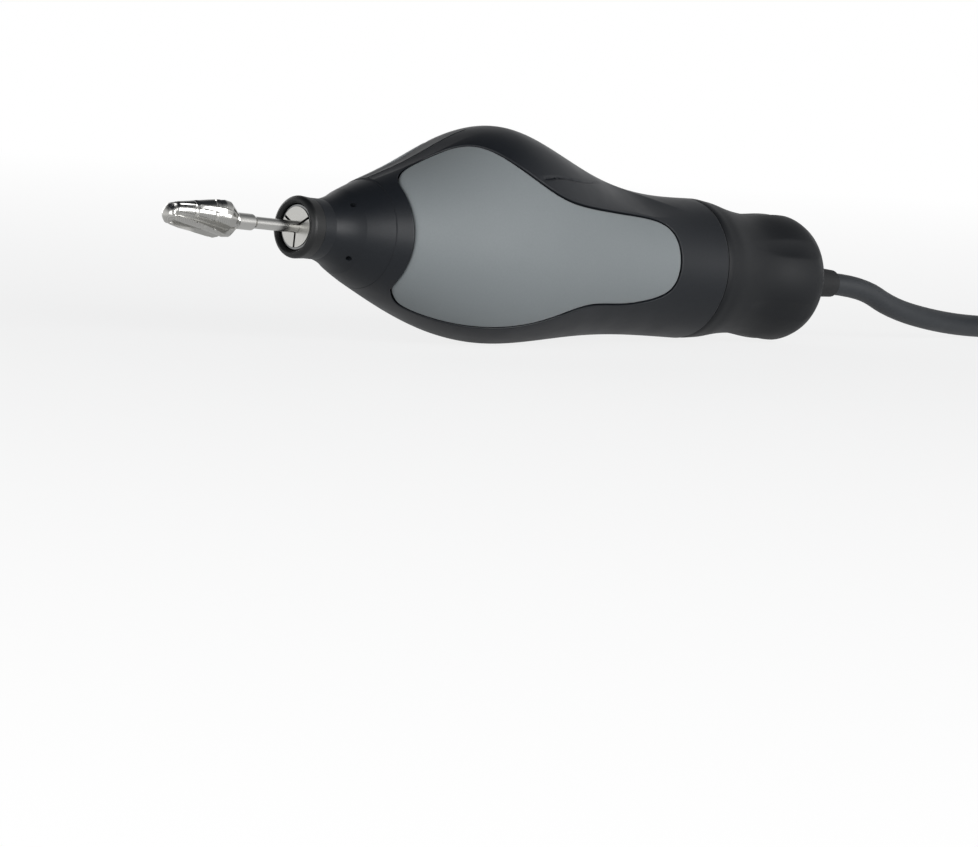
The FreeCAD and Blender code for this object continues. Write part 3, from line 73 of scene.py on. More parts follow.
# Outline of the near pad: place on the axis and angle above the side, front corner first
PAD_OUTLINE = [
    (21.2, -50), (21.25, -25), (21.3, 0), (21.1, 25), (20.95, 48), (21.4, 63), (23.6, 74.2), (27.5, 78.1),
    (33, 77.3), (38, 72), (42, 60.2), (46.5, 47.3), (53.5, 35.8), (63, 32.5), (76, 36.1), (84.5, 37.3),
    (89.4, 29.5), (91, 8), (90.2, -15), (85.8, -27.3), (77.5, -33), (68, -32.9), (60.5, -39.6), (52.7, -49.3),
    (40, -61.5), (29, -70.6), (24.2, -68.3), (21.9, -59.5),
]
# Which points of that outline lie opposite the corners of the half shell's sheet
OUTLINE_CORNERS = {"front_top": 6.4, "rear_top": 15.6, "rear_bottom": 18.6, "front_bottom": 26.1}
SHELL_FRONT = 17.4
SHELL_REAR = 104.6
# Rounded ends of the shell: millimetres in from the end and below the surface; the sheets stop at SHEET_INSET
FRONT_ROUND = [(0.26, 0), (0.06, 0.04), (0, 0.14), (0, 0.9)]
REAR_ROUND = [(0.26, 0), (0.08, 0.06), (0, 0.25), (0, 1.5)]
SHEET_INSET = 0.25
RING_STEPS = 240
# Rim of the recess that a pad sits in: millimetres outward from the gap and height over the grip
RECESS_RIM = [(0, -0.3), (0.03, -0.1), (0.1, -0.03)]
RECESS_EDGE = 0.22
# How far each row of the shell's sheet lies on the way from the recess to the border
SHEET_SHARES = np.concatenate([
    np.linspace(0, 0.2, 18), np.linspace(0.21, 0.97, 90), np.linspace(0.975, 1, 8),
])
# Rounded edge of a pad: millimetres inward from its outline and height over the grip
PAD_EDGE = [(0, -1.25), (0, -0.5), (0.05, -0.28), (0.16, -0.12), (0.34, -0.03), (0.6, 0.0)]
# Spot that the pad's rows shrink to, place on the axis and angle, and how far out from it each row lies
PAD_MIDDLE = (46.0, 2.0)
PAD_SHARES = np.concatenate([np.linspace(0.985, 0.8, 12), np.linspace(0.77, 0.01, 34)])
# Flat in the neck above the pad: place on the axis, angle of its lower edge, angle of its upper edge
SCOOP = [
    (49.5, 43, 43.4), (52, 40.2, 45.2), (56.3, 36.6, 47.6), (61.3, 35.4, 49.6), (68.3, 35.8, 56),
    (73.7, 37.8, 65), (80, 40.2, 74), (86, 40.6, 73), (91.1, 44.2, 65), (95, 49.8, 58), (97.3, 53, 53.4),
]
# Crease along the front of that flat's upper edge: its depth and half width, and where it rises and fades
CREASE_DEPTH = 0.55
CREASE_WIDTH = 0.3
CREASE_RISE = (49.5, 52)
CREASE_FADE = (60, 75)
# Flats on both sides of the parting line along the crest's front: angle of their lower edge, depth and fade
FACET_EDGE = 79.5
FACET_DEPTH = 0.12
FACET_FADE = (34, 46)
# The parting line: its depth, the distances from its middle between which it ends, and its fade
SEAM_DEPTH = 0.3
SEAM_WIDTH = (0.1, 0.24)
SEAM_FADE = (40, 43)
# Profile of the release sleeve: place on the axis and radius
SLEEVE_PROFILE = [
    (104.85, 13.95), (105.4, 14.05), (107.2, 13.95), (109.0, 13.75), (112.0, 13.15), (115.0, 12.6),
    (118.5, 12.25), (122.0, 12.35), (126.0, 12.75), (128.5, 12.9), (130.5, 12.85), (132.0, 12.6),
    (133.3, 12.1), (134.3, 11.55), (134.8, 11.1),
]
# The sleeve's front lip and its bore at the rear: place on the axis and radius
SLEEVE_LIP = (104.85, 12.7)
SLEEVE_BORE = [(134.8, 10.95), (131.0, 10.95)]
# Flutes of the sleeve: how many, how deep, where they rise and fade, and how softly their edges round
FLUTES = 6
FLUTE_DEPTH = 0.34
FLUTE_RISE = (110, 126)
FLUTE_FADE = (130.5, 134.5)
FLUTE_SOFTNESS = 0.06
# Profile of the cutter head: millimetres behind its tip and radius
HEAD_PROFILE = [
    (0.0, 0.35), (0.1, 0.85), (0.5, 1.5), (1.0, 1.95), (1.6, 2.25), (3.5, 2.6), (5.9, 2.85), (8.9, 3.25),
    (11.6, 3.65), (13.5, 3.92), (15.0, 3.72), (16.2, 2.85), (17.0, 2.2), (17.8, 1.65),
]
HEAD_TIP = -32.44
# Section of one blade: share of the way to the next blade, and height over the bottom of the flute
BLADE_SECTION = [
    (0.0, 1.0), (0.03, 0.4), (0.07, 0.0), (0.17, 0.0), (0.3, 0.16), (0.44, 0.38), (0.47, 0.56), (0.62, 0.78),
    (0.78, 0.93), (0.94, 1.0),
]
# Notches across the blades: places behind the tip, step from blade to blade, half width and depth
NOTCHES = (1.5, 6.0, 10.5)
NOTCH_STEP = 1.3
NOTCH_WIDTH = 0.24
NOTCH_DEPTH = 0.45
# Disc springs behind the spindle: start and length of the stack, number, wall, and inner and outer radius
SPRINGS_START = 82.05
SPRINGS_LENGTH = 7.5
SPRING_COUNT = 8
SPRING_WALL = 0.45
SPRING_RADII = (1.57, 2.88)
# Route of the cord in millimetres in the frame of the part, from the gland to the hank and on to the plug
CORD_ROUTE = [
    (89.9, 0, 11.8), (98.9, 0, 11.2), (108.4, 0.3, 6.6), (123.7, 2.0, 3.7), (139.9, 5.0, 2.25),
    (154.0, 5.5, 2.25),
]
TAIL_ROUTE = [(157.0, 2.4, 15.75), (169.0, 9.3, 15.3), (181.0, 14.6, 7.4), (193.0, 15.0, 6.05)]
HANK_CENTRE = (194.75, -9.5)
HANK_RUN = 55.0
HANK_FOLD = 15.0
# Where each turn of the hank lies: how far in from the outermost turn and on which layer
HANK_PLACES = [(0, 0), (1, 0), (1, 1), (0, 1), (0, 2), (1, 2), (1, 3), (0, 3)]
# Each turn gives up its place this share of a turn before it ends, so that the next can cross over it
HANK_SHARE = 0.875
# Spacing of the turns in cord widths, share of a turn where a crossing starts, what the last turn lacks, and
# points for each turn
HANK_SPACING = 1.035
HANK_CROSSING = 0.84
HANK_END = 0.075
HANK_STEPS = 26
# Camera: its axes in the frame of the handpiece, and its place there in millimetres
CAMERA_RIGHT = (0.72874, -0.67665, 0.10528)
CAMERA_UP = (-0.06176, 0.08817, 0.99419)
CAMERA_FORWARD = (0.68200, 0.73101, -0.02246)
CAMERA_PLACE = (-993.12, -1125.43, 0.0)
# Soft boxes: place in metres and power in watts; all have the same size and face one spot
LAMPS = {
    "right_light": ((0.3, -1.35, 0.32), 13),
    "left_light": ((-1.25, -0.65, 0.26), 5),
    "back_light": ((0.2, 1.35, 0.25), 5),
}
LAMP_SIZE = 0.8
LAMP_TARGET = (0, 0, 0.02)


# Colours and nodes


def linear(hex_value):
    """Linear RGBA of an sRGB hex value."""
    channels = []
    for place in (1, 3, 5):
        value = int(hex_value[place:place + 2], 16) / 255
        channels.append(value / 12.92 if value <= 0.04045 else ((value + 0.055) / 1.055) ** 2.4)
    return (*channels, 1.0)


def add_node(tree, kind, settings=None, links=None):
    """A node with its properties and input values, and links from sockets to its inputs."""
    node = tree.nodes.new(kind)
    for name, value in (settings or {}).items():
        if isinstance(name, str) and hasattr(node, name):
            setattr(node, name, value)
        else:
            node.inputs[name].default_value = value
    for name, socket in (links or {}).items():
        tree.links.new(node.inputs[name], socket)
    return node


def spindle_coordinates(tree):
    """Coordinates that follow the spindle, so turned and wound patterns run round its axis."""
    place = add_node(tree, "ShaderNodeTexCoord")
    mapping = add_node(tree, "ShaderNodeMapping", {
        "vector_type": "TEXTURE", "Location": SPINDLE_FRONT, "Rotation": (0, TILT, 0),
    }, {"Vector": place.outputs["Object"]})
    return mapping.outputs["Vector"]


def noise_scale(grain):
    """Scale of a noise or cell pattern whose grains are this many millimetres across."""
    return 1000 / grain


def wave_scale(spacing):
    """Scale of a wave pattern whose lines stand this many millimetres apart."""
    return 2 * math.pi / 20 * 1000 / spacing


MATERIALS = {}


def surface(name, low, high, pattern, relief, shader, roughness_swing=0.08):
    """Make a material whose colour and relief come from one pattern at its real size, and whose roughness
    wanders with a soft cloud.

    pattern is the texture node's kind and settings, relief is the pattern's height in millimetres and
    shader holds the plain values of the Principled shader.
    """
    material = bpy.data.materials.new(name)
    material.use_nodes = True
    tree = material.node_tree
    principled = tree.nodes["Principled BSDF"]
    principled.inputs["Base Color"].default_value = linear(low)
    for socket, value in shader.items():
        principled.inputs[socket].default_value = value
    coordinates = spindle_coordinates(tree)
    texture = add_node(tree, pattern[0], pattern[1], {"Vector": coordinates})
    height = texture.outputs["Distance"] if "Voronoi" in pattern[0] else texture.outputs[-1]
    if pattern[0] == "ShaderNodeTexNoise":
        height = texture.outputs["Fac"]
    colour = add_node(tree, "ShaderNodeMix", {
        "data_type": "RGBA", 6: linear(low), 7: linear(high)}, {0: height})
    tree.links.new(principled.inputs["Base Color"], colour.outputs[2])
    cloud = add_node(tree, "ShaderNodeTexNoise", {
        "Scale": noise_scale(6), "Detail": 3.0}, {"Vector": coordinates})
    rough = shader.get("Roughness", 0.5)
    swing = add_node(tree, "ShaderNodeMapRange", {
        "To Min": max(0.02, rough - roughness_swing), "To Max": min(1.0, rough + roughness_swing),
    }, {"Value": cloud.outputs["Fac"]})
    tree.links.new(principled.inputs["Roughness"], swing.outputs["Result"])
    bump = add_node(tree, "ShaderNodeBump", {"Strength": 0.6, "Distance": relief / 1000}, {"Height": height})
    tree.links.new(principled.inputs["Normal"], bump.outputs["Normal"])
    MATERIALS[name] = material


def noise(grain, detail=2.0):
    """Pattern of soft grains."""
    return "ShaderNodeTexNoise", {"Scale": noise_scale(grain), "Detail": detail}


def lines(spacing, direction="X", distortion=0.4):
    """Pattern of lines across an axis, such as turning marks, sheets or wires."""
    return "ShaderNodeTexWave", {
        "wave_type": "BANDS", "bands_direction": direction, "Scale": wave_scale(spacing),
        "Distortion": distortion, "Detail": 1.0,
    }


def cells(grain):
    """Pattern of packed grains."""
    return "ShaderNodeTexVoronoi", {"Scale": noise_scale(grain)}


def make_materials():
    """Every finish of the handpiece, named for its material and how its surface was made."""
    # Injection moulded ABS, spark eroded mould: near black, a soft broad sheen with a cool cast
    surface("moulded_black_abs", "#191c20", "#212429", noise(0.35), 0.004, {
        "Roughness": 0.42, "Specular IOR Level": 0.3})
    # The same ABS from a finely textured mould, as the sleeve needs for its hold: duller, and a shade darker
    # in colour, which is painted shade on the sleeve and the rear cap
    surface("textured_black_abs_painted_shade", "#15171a", "#1b1d20", noise(0.25), 0.008, {
        "Roughness": 0.5, "Specular IOR Level": 0.25})
    # Turned black acetal: a smooth, slightly waxy ring that shows almost no grain
    surface("turned_black_acetal", "#0f1011", "#151617", lines(0.25), 0.002, {
        "Roughness": 0.46})
    # Soft-touch thermoplastic elastomer: matt mid grey with a fine even grain
    surface("soft_touch_elastomer", "#858b8d", "#8b9193", noise(0.4), 0.006, {
        "Roughness": 0.62, "Sheen Weight": 0.12, "Sheen Roughness": 0.5})
    # Moulded black nitrile rubber: dull and dark
    surface("moulded_black_rubber", "#17181a", "#1e1f21", noise(0.5), 0.01, {
        "Roughness": 0.7})
    # Extruded silicone cord sheath: dark grey, matt, with faint lengthwise cloudiness
    surface("extruded_silicone", "#2b2e32", "#33363a", noise(0.8), 0.01, {
        "Roughness": 0.55})
    # Woven nylon strap: fine cross ribs
    surface("woven_nylon", "#131415", "#26282a", cells(0.5), 0.08, {
        "Roughness": 0.85, "Sheen Weight": 0.3})
    # Ground spring steel of the collet: bright with concentric turning marks
    surface("ground_collet_steel", "#b9b8b4", "#c9c8c4", lines(0.18), 0.002, {
        "Metallic": 1.0, "Roughness": 0.28})
    # Ground tungsten carbide: bright facets with fine grinding lines along the blades
    surface("ground_carbide", "#aeadaa", "#c6c5c1", lines(0.16, "DIAGONAL", 1.5), 0.0003, {
        "Metallic": 1.0, "Roughness": 0.2}, 0.05)
    # Centreless ground stainless steel shank: bright, smooth, with faint lines round it
    surface("ground_stainless", "#c4c3c0", "#d6d5d1", lines(0.15), 0.001, {
        "Metallic": 1.0, "Roughness": 0.22}, 0.05)
    # Turned tool steel: grey with turning marks
    surface("turned_steel", "#8d8e8e", "#a2a3a3", lines(0.2), 0.004, {
        "Metallic": 1.0, "Roughness": 0.34})
    # Lapped bearing steel: the brightest and smoothest
    surface("lapped_bearing_steel", "#b9bbbd", "#c3c5c7", noise(0.3), 0.0005, {
        "Metallic": 1.0, "Roughness": 0.12}, 0.03)
    # Moulded polyamide cage: warm tan, matt
    surface("moulded_polyamide", "#8a6a3d", "#977546", noise(0.4), 0.004, {
        "Roughness": 0.55})
    # Blued spring steel: dark blue grey with an oily gloss
    surface("blued_spring_steel", "#3b424d", "#4a515c", noise(0.5), 0.001, {
        "Metallic": 1.0, "Roughness": 0.3})
    # Nickel plated magnet: soft grey metal
    surface("nickel_plated_magnet", "#77797c", "#85878a", noise(0.6), 0.002, {
        "Metallic": 1.0, "Roughness": 0.3})
    # Turned brass of the balance rings
    surface("turned_brass", "#b08d4a", "#c09c58", lines(0.2), 0.003, {
        "Metallic": 1.0, "Roughness": 0.3})
    # Stacked electrical steel sheets, 0.35 mm each: dark lines across the axis
    surface("stacked_steel_sheets", "#3e4043", "#6b6e72", lines(0.35, "X", 0.0), 0.03, {
        "Metallic": 1.0, "Roughness": 0.45})
    # Enamelled copper wire, 0.3 mm: red brown and glossy, one ridge for each wire
    surface("enamelled_copper_wire", "#6e2f12", "#b0622c", lines(0.3, "X", 0.8), 0.06, {
        "Metallic": 0.6, "Roughness": 0.28})
    # Turned aluminium alloy: pale grey with turning marks
    surface("turned_aluminium", "#a4a6a8", "#b5b7b9", lines(0.25), 0.004, {
        "Metallic": 1.0, "Roughness": 0.36})
    # Glass-epoxy board with solder mask: glossy dark green over a faint weave
    surface("glass_epoxy_board", "#0d3a1d", "#134a27", cells(0.8), 0.01, {
        "Roughness": 0.35})
    # Glass-filled polyamide: charcoal, with a slightly rough skin
    surface("glass_filled_polyamide", "#232528", "#2c2e31", noise(0.3), 0.008, {
        "Roughness": 0.6})
    # Nickel plated barrel of the plug
    surface("plated_plug_barrel", "#a9a9a6", "#b6b6b3", lines(0.3), 0.002, {
        "Metallic": 1.0, "Roughness": 0.22})
    # Gold flashed contact pins
    surface("gold_flashed_pins", "#c79a3e", "#d2a74c", lines(0.2), 0.001, {
        "Metallic": 1.0, "Roughness": 0.2})
    # Moulded black plug shell with a finer grain than the grip's
    surface("moulded_plug_shell", "#17191c", "#1f2124", noise(0.3), 0.006, {
        "Roughness": 0.48})


# CAD nodes that keep their shape, with the finish of each
NODE_FINISHES = {
    "moulded_black_abs": ["nose_cone"],
    # The rear cap's finish carries painted shade: its black is painted darker than the grip's
    "textured_black_abs_painted_shade": ["rear_cap"],
    "turned_black_acetal": ["nose_ring"],
    "moulded_black_rubber": ["dust_seal", "front_o_ring", "rear_o_ring", "cord_gland", "plug_boot"],
    "ground_collet_steel": ["collet"],
    "ground_stainless": ["cutter_shank"],
    "turned_steel": ["drawbar", "drawbar_nut", "spindle", "release_pusher", "cam_pin", "retaining_ring",
                     "preload_spring", "bearing_spacer"],
    "lapped_bearing_steel": ["front_bearing_outer", "front_bearing_inner", "front_bearing_balls",
                             "middle_bearing_outer", "middle_bearing_inner", "middle_bearing_balls",
                             "rear_bearing_outer", "rear_bearing_inner", "rear_bearing_balls"],
    "moulded_polyamide": ["front_bearing_cage", "middle_bearing_cage", "rear_bearing_cage"],
    "nickel_plated_magnet": ["rotor_magnet"],
    "turned_brass": ["balance_rings"],
    "stacked_steel_sheets": ["stator_core"],
    "enamelled_copper_wire": ["stator_windings"],
    "turned_aluminium": ["motor_tube", "bearing_carrier", "rear_frame"],
    "glass_epoxy_board": ["sensor_board"],
    "glass_filled_polyamide": ["fan", "cam_ring", "plug_insulator"],
    "plated_plug_barrel": ["plug_barrel"],
    "gold_flashed_pins": ["plug_pins"],
    "moulded_plug_shell": ["plug_shell"],
    "woven_nylon": ["cord_tie"],
}


# Shapes


def spline(places, values, at):
    """Smooth values at some places, from a natural cubic through the given ones."""
    places = np.asarray(places, float)
    values = np.asarray(values, float)
    gaps = np.diff(places)
    size = len(places)
    matrix = np.eye(size)
    right = np.zeros(size)
    slopes = np.diff(values) / gaps
    for i in range(1, size - 1):
        matrix[i, i - 1:i + 2] = gaps[i - 1], 2 * (gaps[i - 1] + gaps[i]), gaps[i]
        right[i] = 6 * (slopes[i] - slopes[i - 1])
    curve = np.linalg.solve(matrix, right)
    at = np.clip(np.asarray(at, float), places[0], places[-1])
    i = np.clip(np.searchsorted(places, at) - 1, 0, size - 2)
    left, span = at - places[i], gaps[i]
    rest = span - left
    return ((curve[i] * rest ** 3 + curve[i + 1] * left ** 3) / (6 * span)
            + (values[i] / span - curve[i] * span / 6) * rest
            + (values[i + 1] / span - curve[i + 1] * span / 6) * left)


def grip_radius(place, angle):
    """Distance of the grip's surface from the axis, at an angle above the side in degrees."""
    stations, above, below, side = np.array(GRIP_SECTIONS).T
    sine, cosine = np.sin(np.radians(angle)), np.cos(np.radians(angle))
    height = np.where(sine > 0, spline(stations, above, place), spline(stations, below, place))
    return 1 / np.sqrt((cosine / spline(stations, side, place)) ** 2 + (sine / height) ** 2)


def smooth_step(value, low, high):
    """From 0 at low to 1 at high."""
    share = np.clip((np.asarray(value, float) - low) / (high - low), 0, 1)
    return share * share * (3 - 2 * share)


def shell_relief(place, angle):
    """How far the shell departs from the smooth grip: flat in the neck, flats on the crest, parting line."""
    stations, low, high = np.array(SCOOP).T
    lower = spline(stations, low, place)
    upper = np.maximum(spline(stations, high, place), lower + 0.3)
    inside = (place > stations[0]) & (place < stations[-1]) & (angle > lower) & (angle < upper)
    first, second = grip_radius(place, lower), grip_radius(place, upper)
    wide, before, after = np.radians(upper - lower), np.radians(angle - lower), np.radians(upper - angle)
    divisor = np.where(inside, first * np.sin(before) + second * np.sin(after), 1)
    chord = first * second * np.sin(wide) / divisor
    scoop = np.where(inside, chord - grip_radius(place, angle), 0)
    from_crease = np.abs(np.radians(upper - angle) * second - 0.5 * CREASE_WIDTH)
    crease = -CREASE_DEPTH * (1 - smooth_step(from_crease, 0.05, CREASE_WIDTH))
    crease *= smooth_step(place, *CREASE_RISE) * (1 - smooth_step(place, *CREASE_FADE))
    scoop = np.minimum(scoop, crease)
    share = np.clip((angle - FACET_EDGE) / (90 - FACET_EDGE), 0, 1)
    facet = -FACET_DEPTH * (1 - (2 * share - 1) ** 2) * (1 - smooth_step(place, *FACET_FADE))
    from_seam = np.radians(90 - angle) * grip_radius(place, angle)
    seam = -SEAM_DEPTH * (1 - smooth_step(from_seam, *SEAM_WIDTH)) * (1 - smooth_step(place, *SEAM_FADE))
    return scoop + facet + seam


def grip_point(place, angle, height):
    """Points of the near half of the grip, in millimetres, at a height over its surface."""
    radius = grip_radius(place, angle) + height
    return np.stack([place, -radius * np.cos(np.radians(angle)), radius * np.sin(np.radians(angle))], -1)


def pad_outline(parameters):
    """The pad's outline as a smooth closed curve: one unit of the parameter for each of its points."""
    count = len(PAD_OUTLINE)
    points = np.array(PAD_OUTLINE * 3, float)
    stations = np.arange(-count, 2 * count)
    around = np.mod(parameters, count)
    return np.stack([spline(stations, points[:, column], around) for column in (0, 1)], -1)


def grown_outline(parameters, distance):
    """The pad's outline moved outward over the surface by some millimetres."""
    step = 0.05
    points = pad_outline(parameters)
    run = pad_outline(parameters + step) - pad_outline(parameters - step)
    per_degree = math.radians(1) * grip_radius(points[:, 0], points[:, 1])
    run[:, 1] *= per_degree
    run /= np.linalg.norm(run, axis=1, keepdims=True)
    return points + distance * np.stack([-run[:, 1], run[:, 0] / per_degree], -1)


def new_piece(name, mesh, material, body):
    """A smooth shaded piece that rides on a body and takes the finish it is given."""
    mesh.materials.append(MATERIALS[material])
    mesh.polygons.foreach_set("use_smooth", [True] * len(mesh.polygons))
    mesh.set_sharp_from_angle(angle=math.radians(38))
    piece = bpy.data.objects.new(name, mesh)
    bpy.context.scene.collection.objects.link(piece)
    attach(piece, body)
    return piece


def sheet_mesh(name, grids, place=LIE, weld=0.0):
    """One mesh of several sheets; each is an array of rows of points and says whether its rows close."""
    build = bmesh.new()
    for points, closed in grids:
        rows = [[build.verts.new(place @ Vector(point)) for point in row] for row in points]
        for first, second in zip(rows, rows[1:]):
            count = len(first)
            for i in range(count if closed else count - 1):
                corners = [first[i], first[(i + 1) % count], second[(i + 1) % count], second[i]]
                build.faces.new(corners)
    if weld:
        bmesh.ops.remove_doubles(build, verts=build.verts, dist=weld)
    bmesh.ops.recalc_face_normals(build, faces=build.faces)
    mesh = bpy.data.meshes.new(name)
    build.to_mesh(mesh)
    build.free()
    return mesh


def turned_rows(profile, steps=96):
    """Rings about the X axis through the points of a profile; a radius can also change along its ring."""
    turn = np.linspace(0, 2 * math.pi, steps, endpoint=False)
    return [np.stack([np.full(steps, place), -radius * np.cos(turn), radius * np.sin(turn)], -1)
            for place, radius in profile]


def mirrored(rows):
    """The same rows on the far side of the handpiece."""
    return [row * np.array([1, -1, 1]) for row in rows]


class GripSettings(bpy.types.PropertyGroup):
    pad_gap: bpy.props.FloatProperty(
        name="Pad gap", description="Width of the dark line round each pad", default=0.00032, unit="LENGTH")
    recess_depth: bpy.props.FloatProperty(
        name="Recess depth", description="Depth of the recess that a pad sits in", default=0.0013,
        unit="LENGTH")
    outline_steps: bpy.props.IntProperty(
        name="Outline steps", description="Points along the outline of a pad", default=448, min=96)


class CutterSettings(bpy.types.PropertyGroup):
    blades: bpy.props.IntProperty(name="Blades", description="Blades round the cutter head", default=6, min=3)
    twist: bpy.props.FloatProperty(
        name="Twist", description="Turn of the blades over the head", default=math.radians(-62),
        subtype="ANGLE")
    flute_depth: bpy.props.FloatProperty(
        name="Flute depth", description="Depth of the flutes at the widest place", default=0.0013,
        unit="LENGTH")


class CordSettings(bpy.types.PropertyGroup):
    diameter: bpy.props.FloatProperty(
        name="Diameter", description="Outside diameter of the cord", default=0.0045, unit="LENGTH")
    length: bpy.props.FloatProperty(
        name="Length", description="Length from the gland to the plug", default=1.415, unit="LENGTH")


class StageSettings(bpy.types.PropertyGroup):
    floor_colour: bpy.props.FloatVectorProperty(
        name="Floor", description="Colour of the pale floor", subtype="COLOR", size=4,
        default=linear("#e6e7e8"))
    focal_length: bpy.props.FloatProperty(
        name="Focal length", description="Lens of the camera", default=287.1, unit="CAMERA")


# Operators


class HANDPIECE_OT_stage(bpy.types.Operator):
    """Floor, soft studio light and the camera at the viewing angle"""
    bl_idname = "handpiece.stage"
    bl_label = "Stage"

    def execute(self, context):
        settings = context.scene.handpiece_stage
        self.camera(context, settings)
        self.floor(settings)
        self.world(context)
        for name, (place, power) in LAMPS.items():
            self.soft_box(context, name, place, power)
        return {"FINISHED"}

    def camera(self, context, settings):
        """The camera at the angle of the photograph."""
        turn = Matrix((CAMERA_RIGHT, CAMERA_UP, -Vector(CAMERA_FORWARD))).transposed().to_4x4()
        place = Matrix.Translation(LIE @ Vector(CAMERA_PLACE))
        camera = bpy.data.objects.new("camera", bpy.data.cameras.new("camera"))
        camera.data.lens = settings.focal_length
        camera.data.sensor_width = 36
        camera.data.clip_start = 0.05
        camera.matrix_world = place @ Matrix.Rotation(TILT, 4, "Y") @ turn
        context.scene.collection.objects.link(camera)
        context.scene.camera = camera

    def floor(self, settings):
        """A pale floor that the camera sees as white and that glossy pieces mirror less where they stand."""
        mesh = bpy.data.meshes.new("floor")
        build = bmesh.new()
        bmesh.ops.create_grid(build, x_segments=2, y_segments=2, size=6)
        build.to_mesh(mesh)
        build.free()
        material = bpy.data.materials.new("painted_board")
        material.use_nodes = True
        tree = material.node_tree
        shader = tree.nodes["Principled BSDF"]
        shader.inputs["Base Color"].default_value = settings.floor_colour
        shader.inputs["Roughness"].default_value = 0.9
        shader.inputs["Specular IOR Level"].default_value = 0.1
        place = add_node(tree, "ShaderNodeTexCoord")
        away = add_node(tree, "ShaderNodeVectorMath", {"operation": "LENGTH"}, {0: place.outputs["Object"]})
        share = add_node(tree, "ShaderNodeMapRange", {
            "From Min": 0.06, "From Max": 0.8, "To Min": 0.82, "To Max": 1.0,
        }, {"Value": away.outputs["Value"]})
        mirrored_share = add_node(tree, "ShaderNodeMapRange", {"From Max": 0.4, "To Min": 0.3},
                                  {"Value": away.outputs["Value"]})
        rays = add_node(tree, "ShaderNodeLightPath")
        direct = add_node(tree, "ShaderNodeMath", {"operation": "MULTIPLY"},
                          {0: share.outputs["Result"], 1: rays.outputs["Is Camera Ray"]})
        glossy = add_node(tree, "ShaderNodeMath", {"operation": "MAXIMUM"}, {
            0: rays.outputs["Is Glossy Ray"], 1: rays.outputs["Is Transmission Ray"]})
        sent_on = add_node(tree, "ShaderNodeMath", {"operation": "MULTIPLY"},
                           {0: mirrored_share.outputs["Result"], 1: glossy.outputs["Value"]})
        seen = add_node(tree, "ShaderNodeMath", {"operation": "MAXIMUM"},
                        {0: direct.outputs["Value"], 1: sent_on.outputs["Value"]})
        white = add_node(tree, "ShaderNodeEmission", {"Color": (1, 1, 1, 1), "Strength": 1.0})
        mix = add_node(tree, "ShaderNodeMixShader", {}, {
            0: seen.outputs["Value"], 1: shader.outputs["BSDF"], 2: white.outputs["Emission"]})
        tree.links.new(tree.nodes["Material Output"].inputs["Surface"], mix.outputs["Shader"])
        mesh.materials.append(material)
        floor = bpy.data.objects.new("floor", mesh)
        bpy.context.scene.collection.objects.link(floor)

    def world(self, context):
        """A soft studio sky, white to the camera."""
        world = bpy.data.worlds.new("studio")
        world.use_nodes = True
        tree = world.node_tree
        background = tree.nodes["Background"]
        background.inputs["Strength"].default_value = 0.55
        place = add_node(tree, "ShaderNodeTexCoord")
        height = add_node(tree, "ShaderNodeSeparateXYZ", {}, {"Vector": place.outputs["Generated"]})
        share = add_node(tree, "ShaderNodeMapRange", {
            "From Min": 0.0, "From Max": 0.8}, {"Value": height.outputs["Z"]})
        sky = add_node(tree, "ShaderNodeMix", {
            "data_type": "RGBA", 6: linear("#e3e6ea"), 7: linear("#45484d")}, {0: share.outputs["Result"]})
        tree.links.new(background.inputs["Color"], sky.outputs[2])
        rays = add_node(tree, "ShaderNodeLightPath")
        low = add_node(tree, "ShaderNodeMath", {
            "operation": "SUBTRACT", 0: 1.0}, {1: share.outputs["Result"]})
        glossy = add_node(tree, "ShaderNodeMath", {"operation": "MULTIPLY"},
                          {0: low.outputs["Value"], 1: rays.outputs["Is Glossy Ray"]})
        seen = add_node(tree, "ShaderNodeMath", {"operation": "MAXIMUM"},
                        {0: glossy.outputs["Value"], 1: rays.outputs["Is Camera Ray"]})
        white = add_node(tree, "ShaderNodeBackground", {"Color": (1, 1, 1, 1), "Strength": 1.0})
        mix = add_node(tree, "ShaderNodeMixShader", {}, {
            0: seen.outputs["Value"], 1: background.outputs[0], 2: white.outputs[0]})
        tree.links.new(tree.nodes["World Output"].inputs["Surface"], mix.outputs[0])
        context.scene.world = world
        context.scene.view_settings.view_transform = "Standard"

    def soft_box(self, context, name, place, power):
        """A square lamp that faces the handpiece."""
        lamp = bpy.data.lights.new(name, "AREA")
        lamp.size = LAMP_SIZE
        lamp.energy = power
        box = bpy.data.objects.new(name, lamp)
        box.location = place
        box.rotation_euler = (Vector(LAMP_TARGET) - Vector(place)).to_track_quat("-Z", "Y").to_euler()
        context.scene.collection.objects.link(box)


class HANDPIECE_OT_node_finishes(bpy.types.Operator):
    """Finishes of the solids that keep their CAD shape"""
    bl_idname = "handpiece.node_finishes"
    bl_label = "Finishes of the solids"

    def execute(self, context):
        for finish, names in NODE_FINISHES.items():
            for name in names:
                node = frame["nodes"][name]
                node.data.materials.clear()
                node.data.materials.append(MATERIALS[finish])
        return {"FINISHED"}


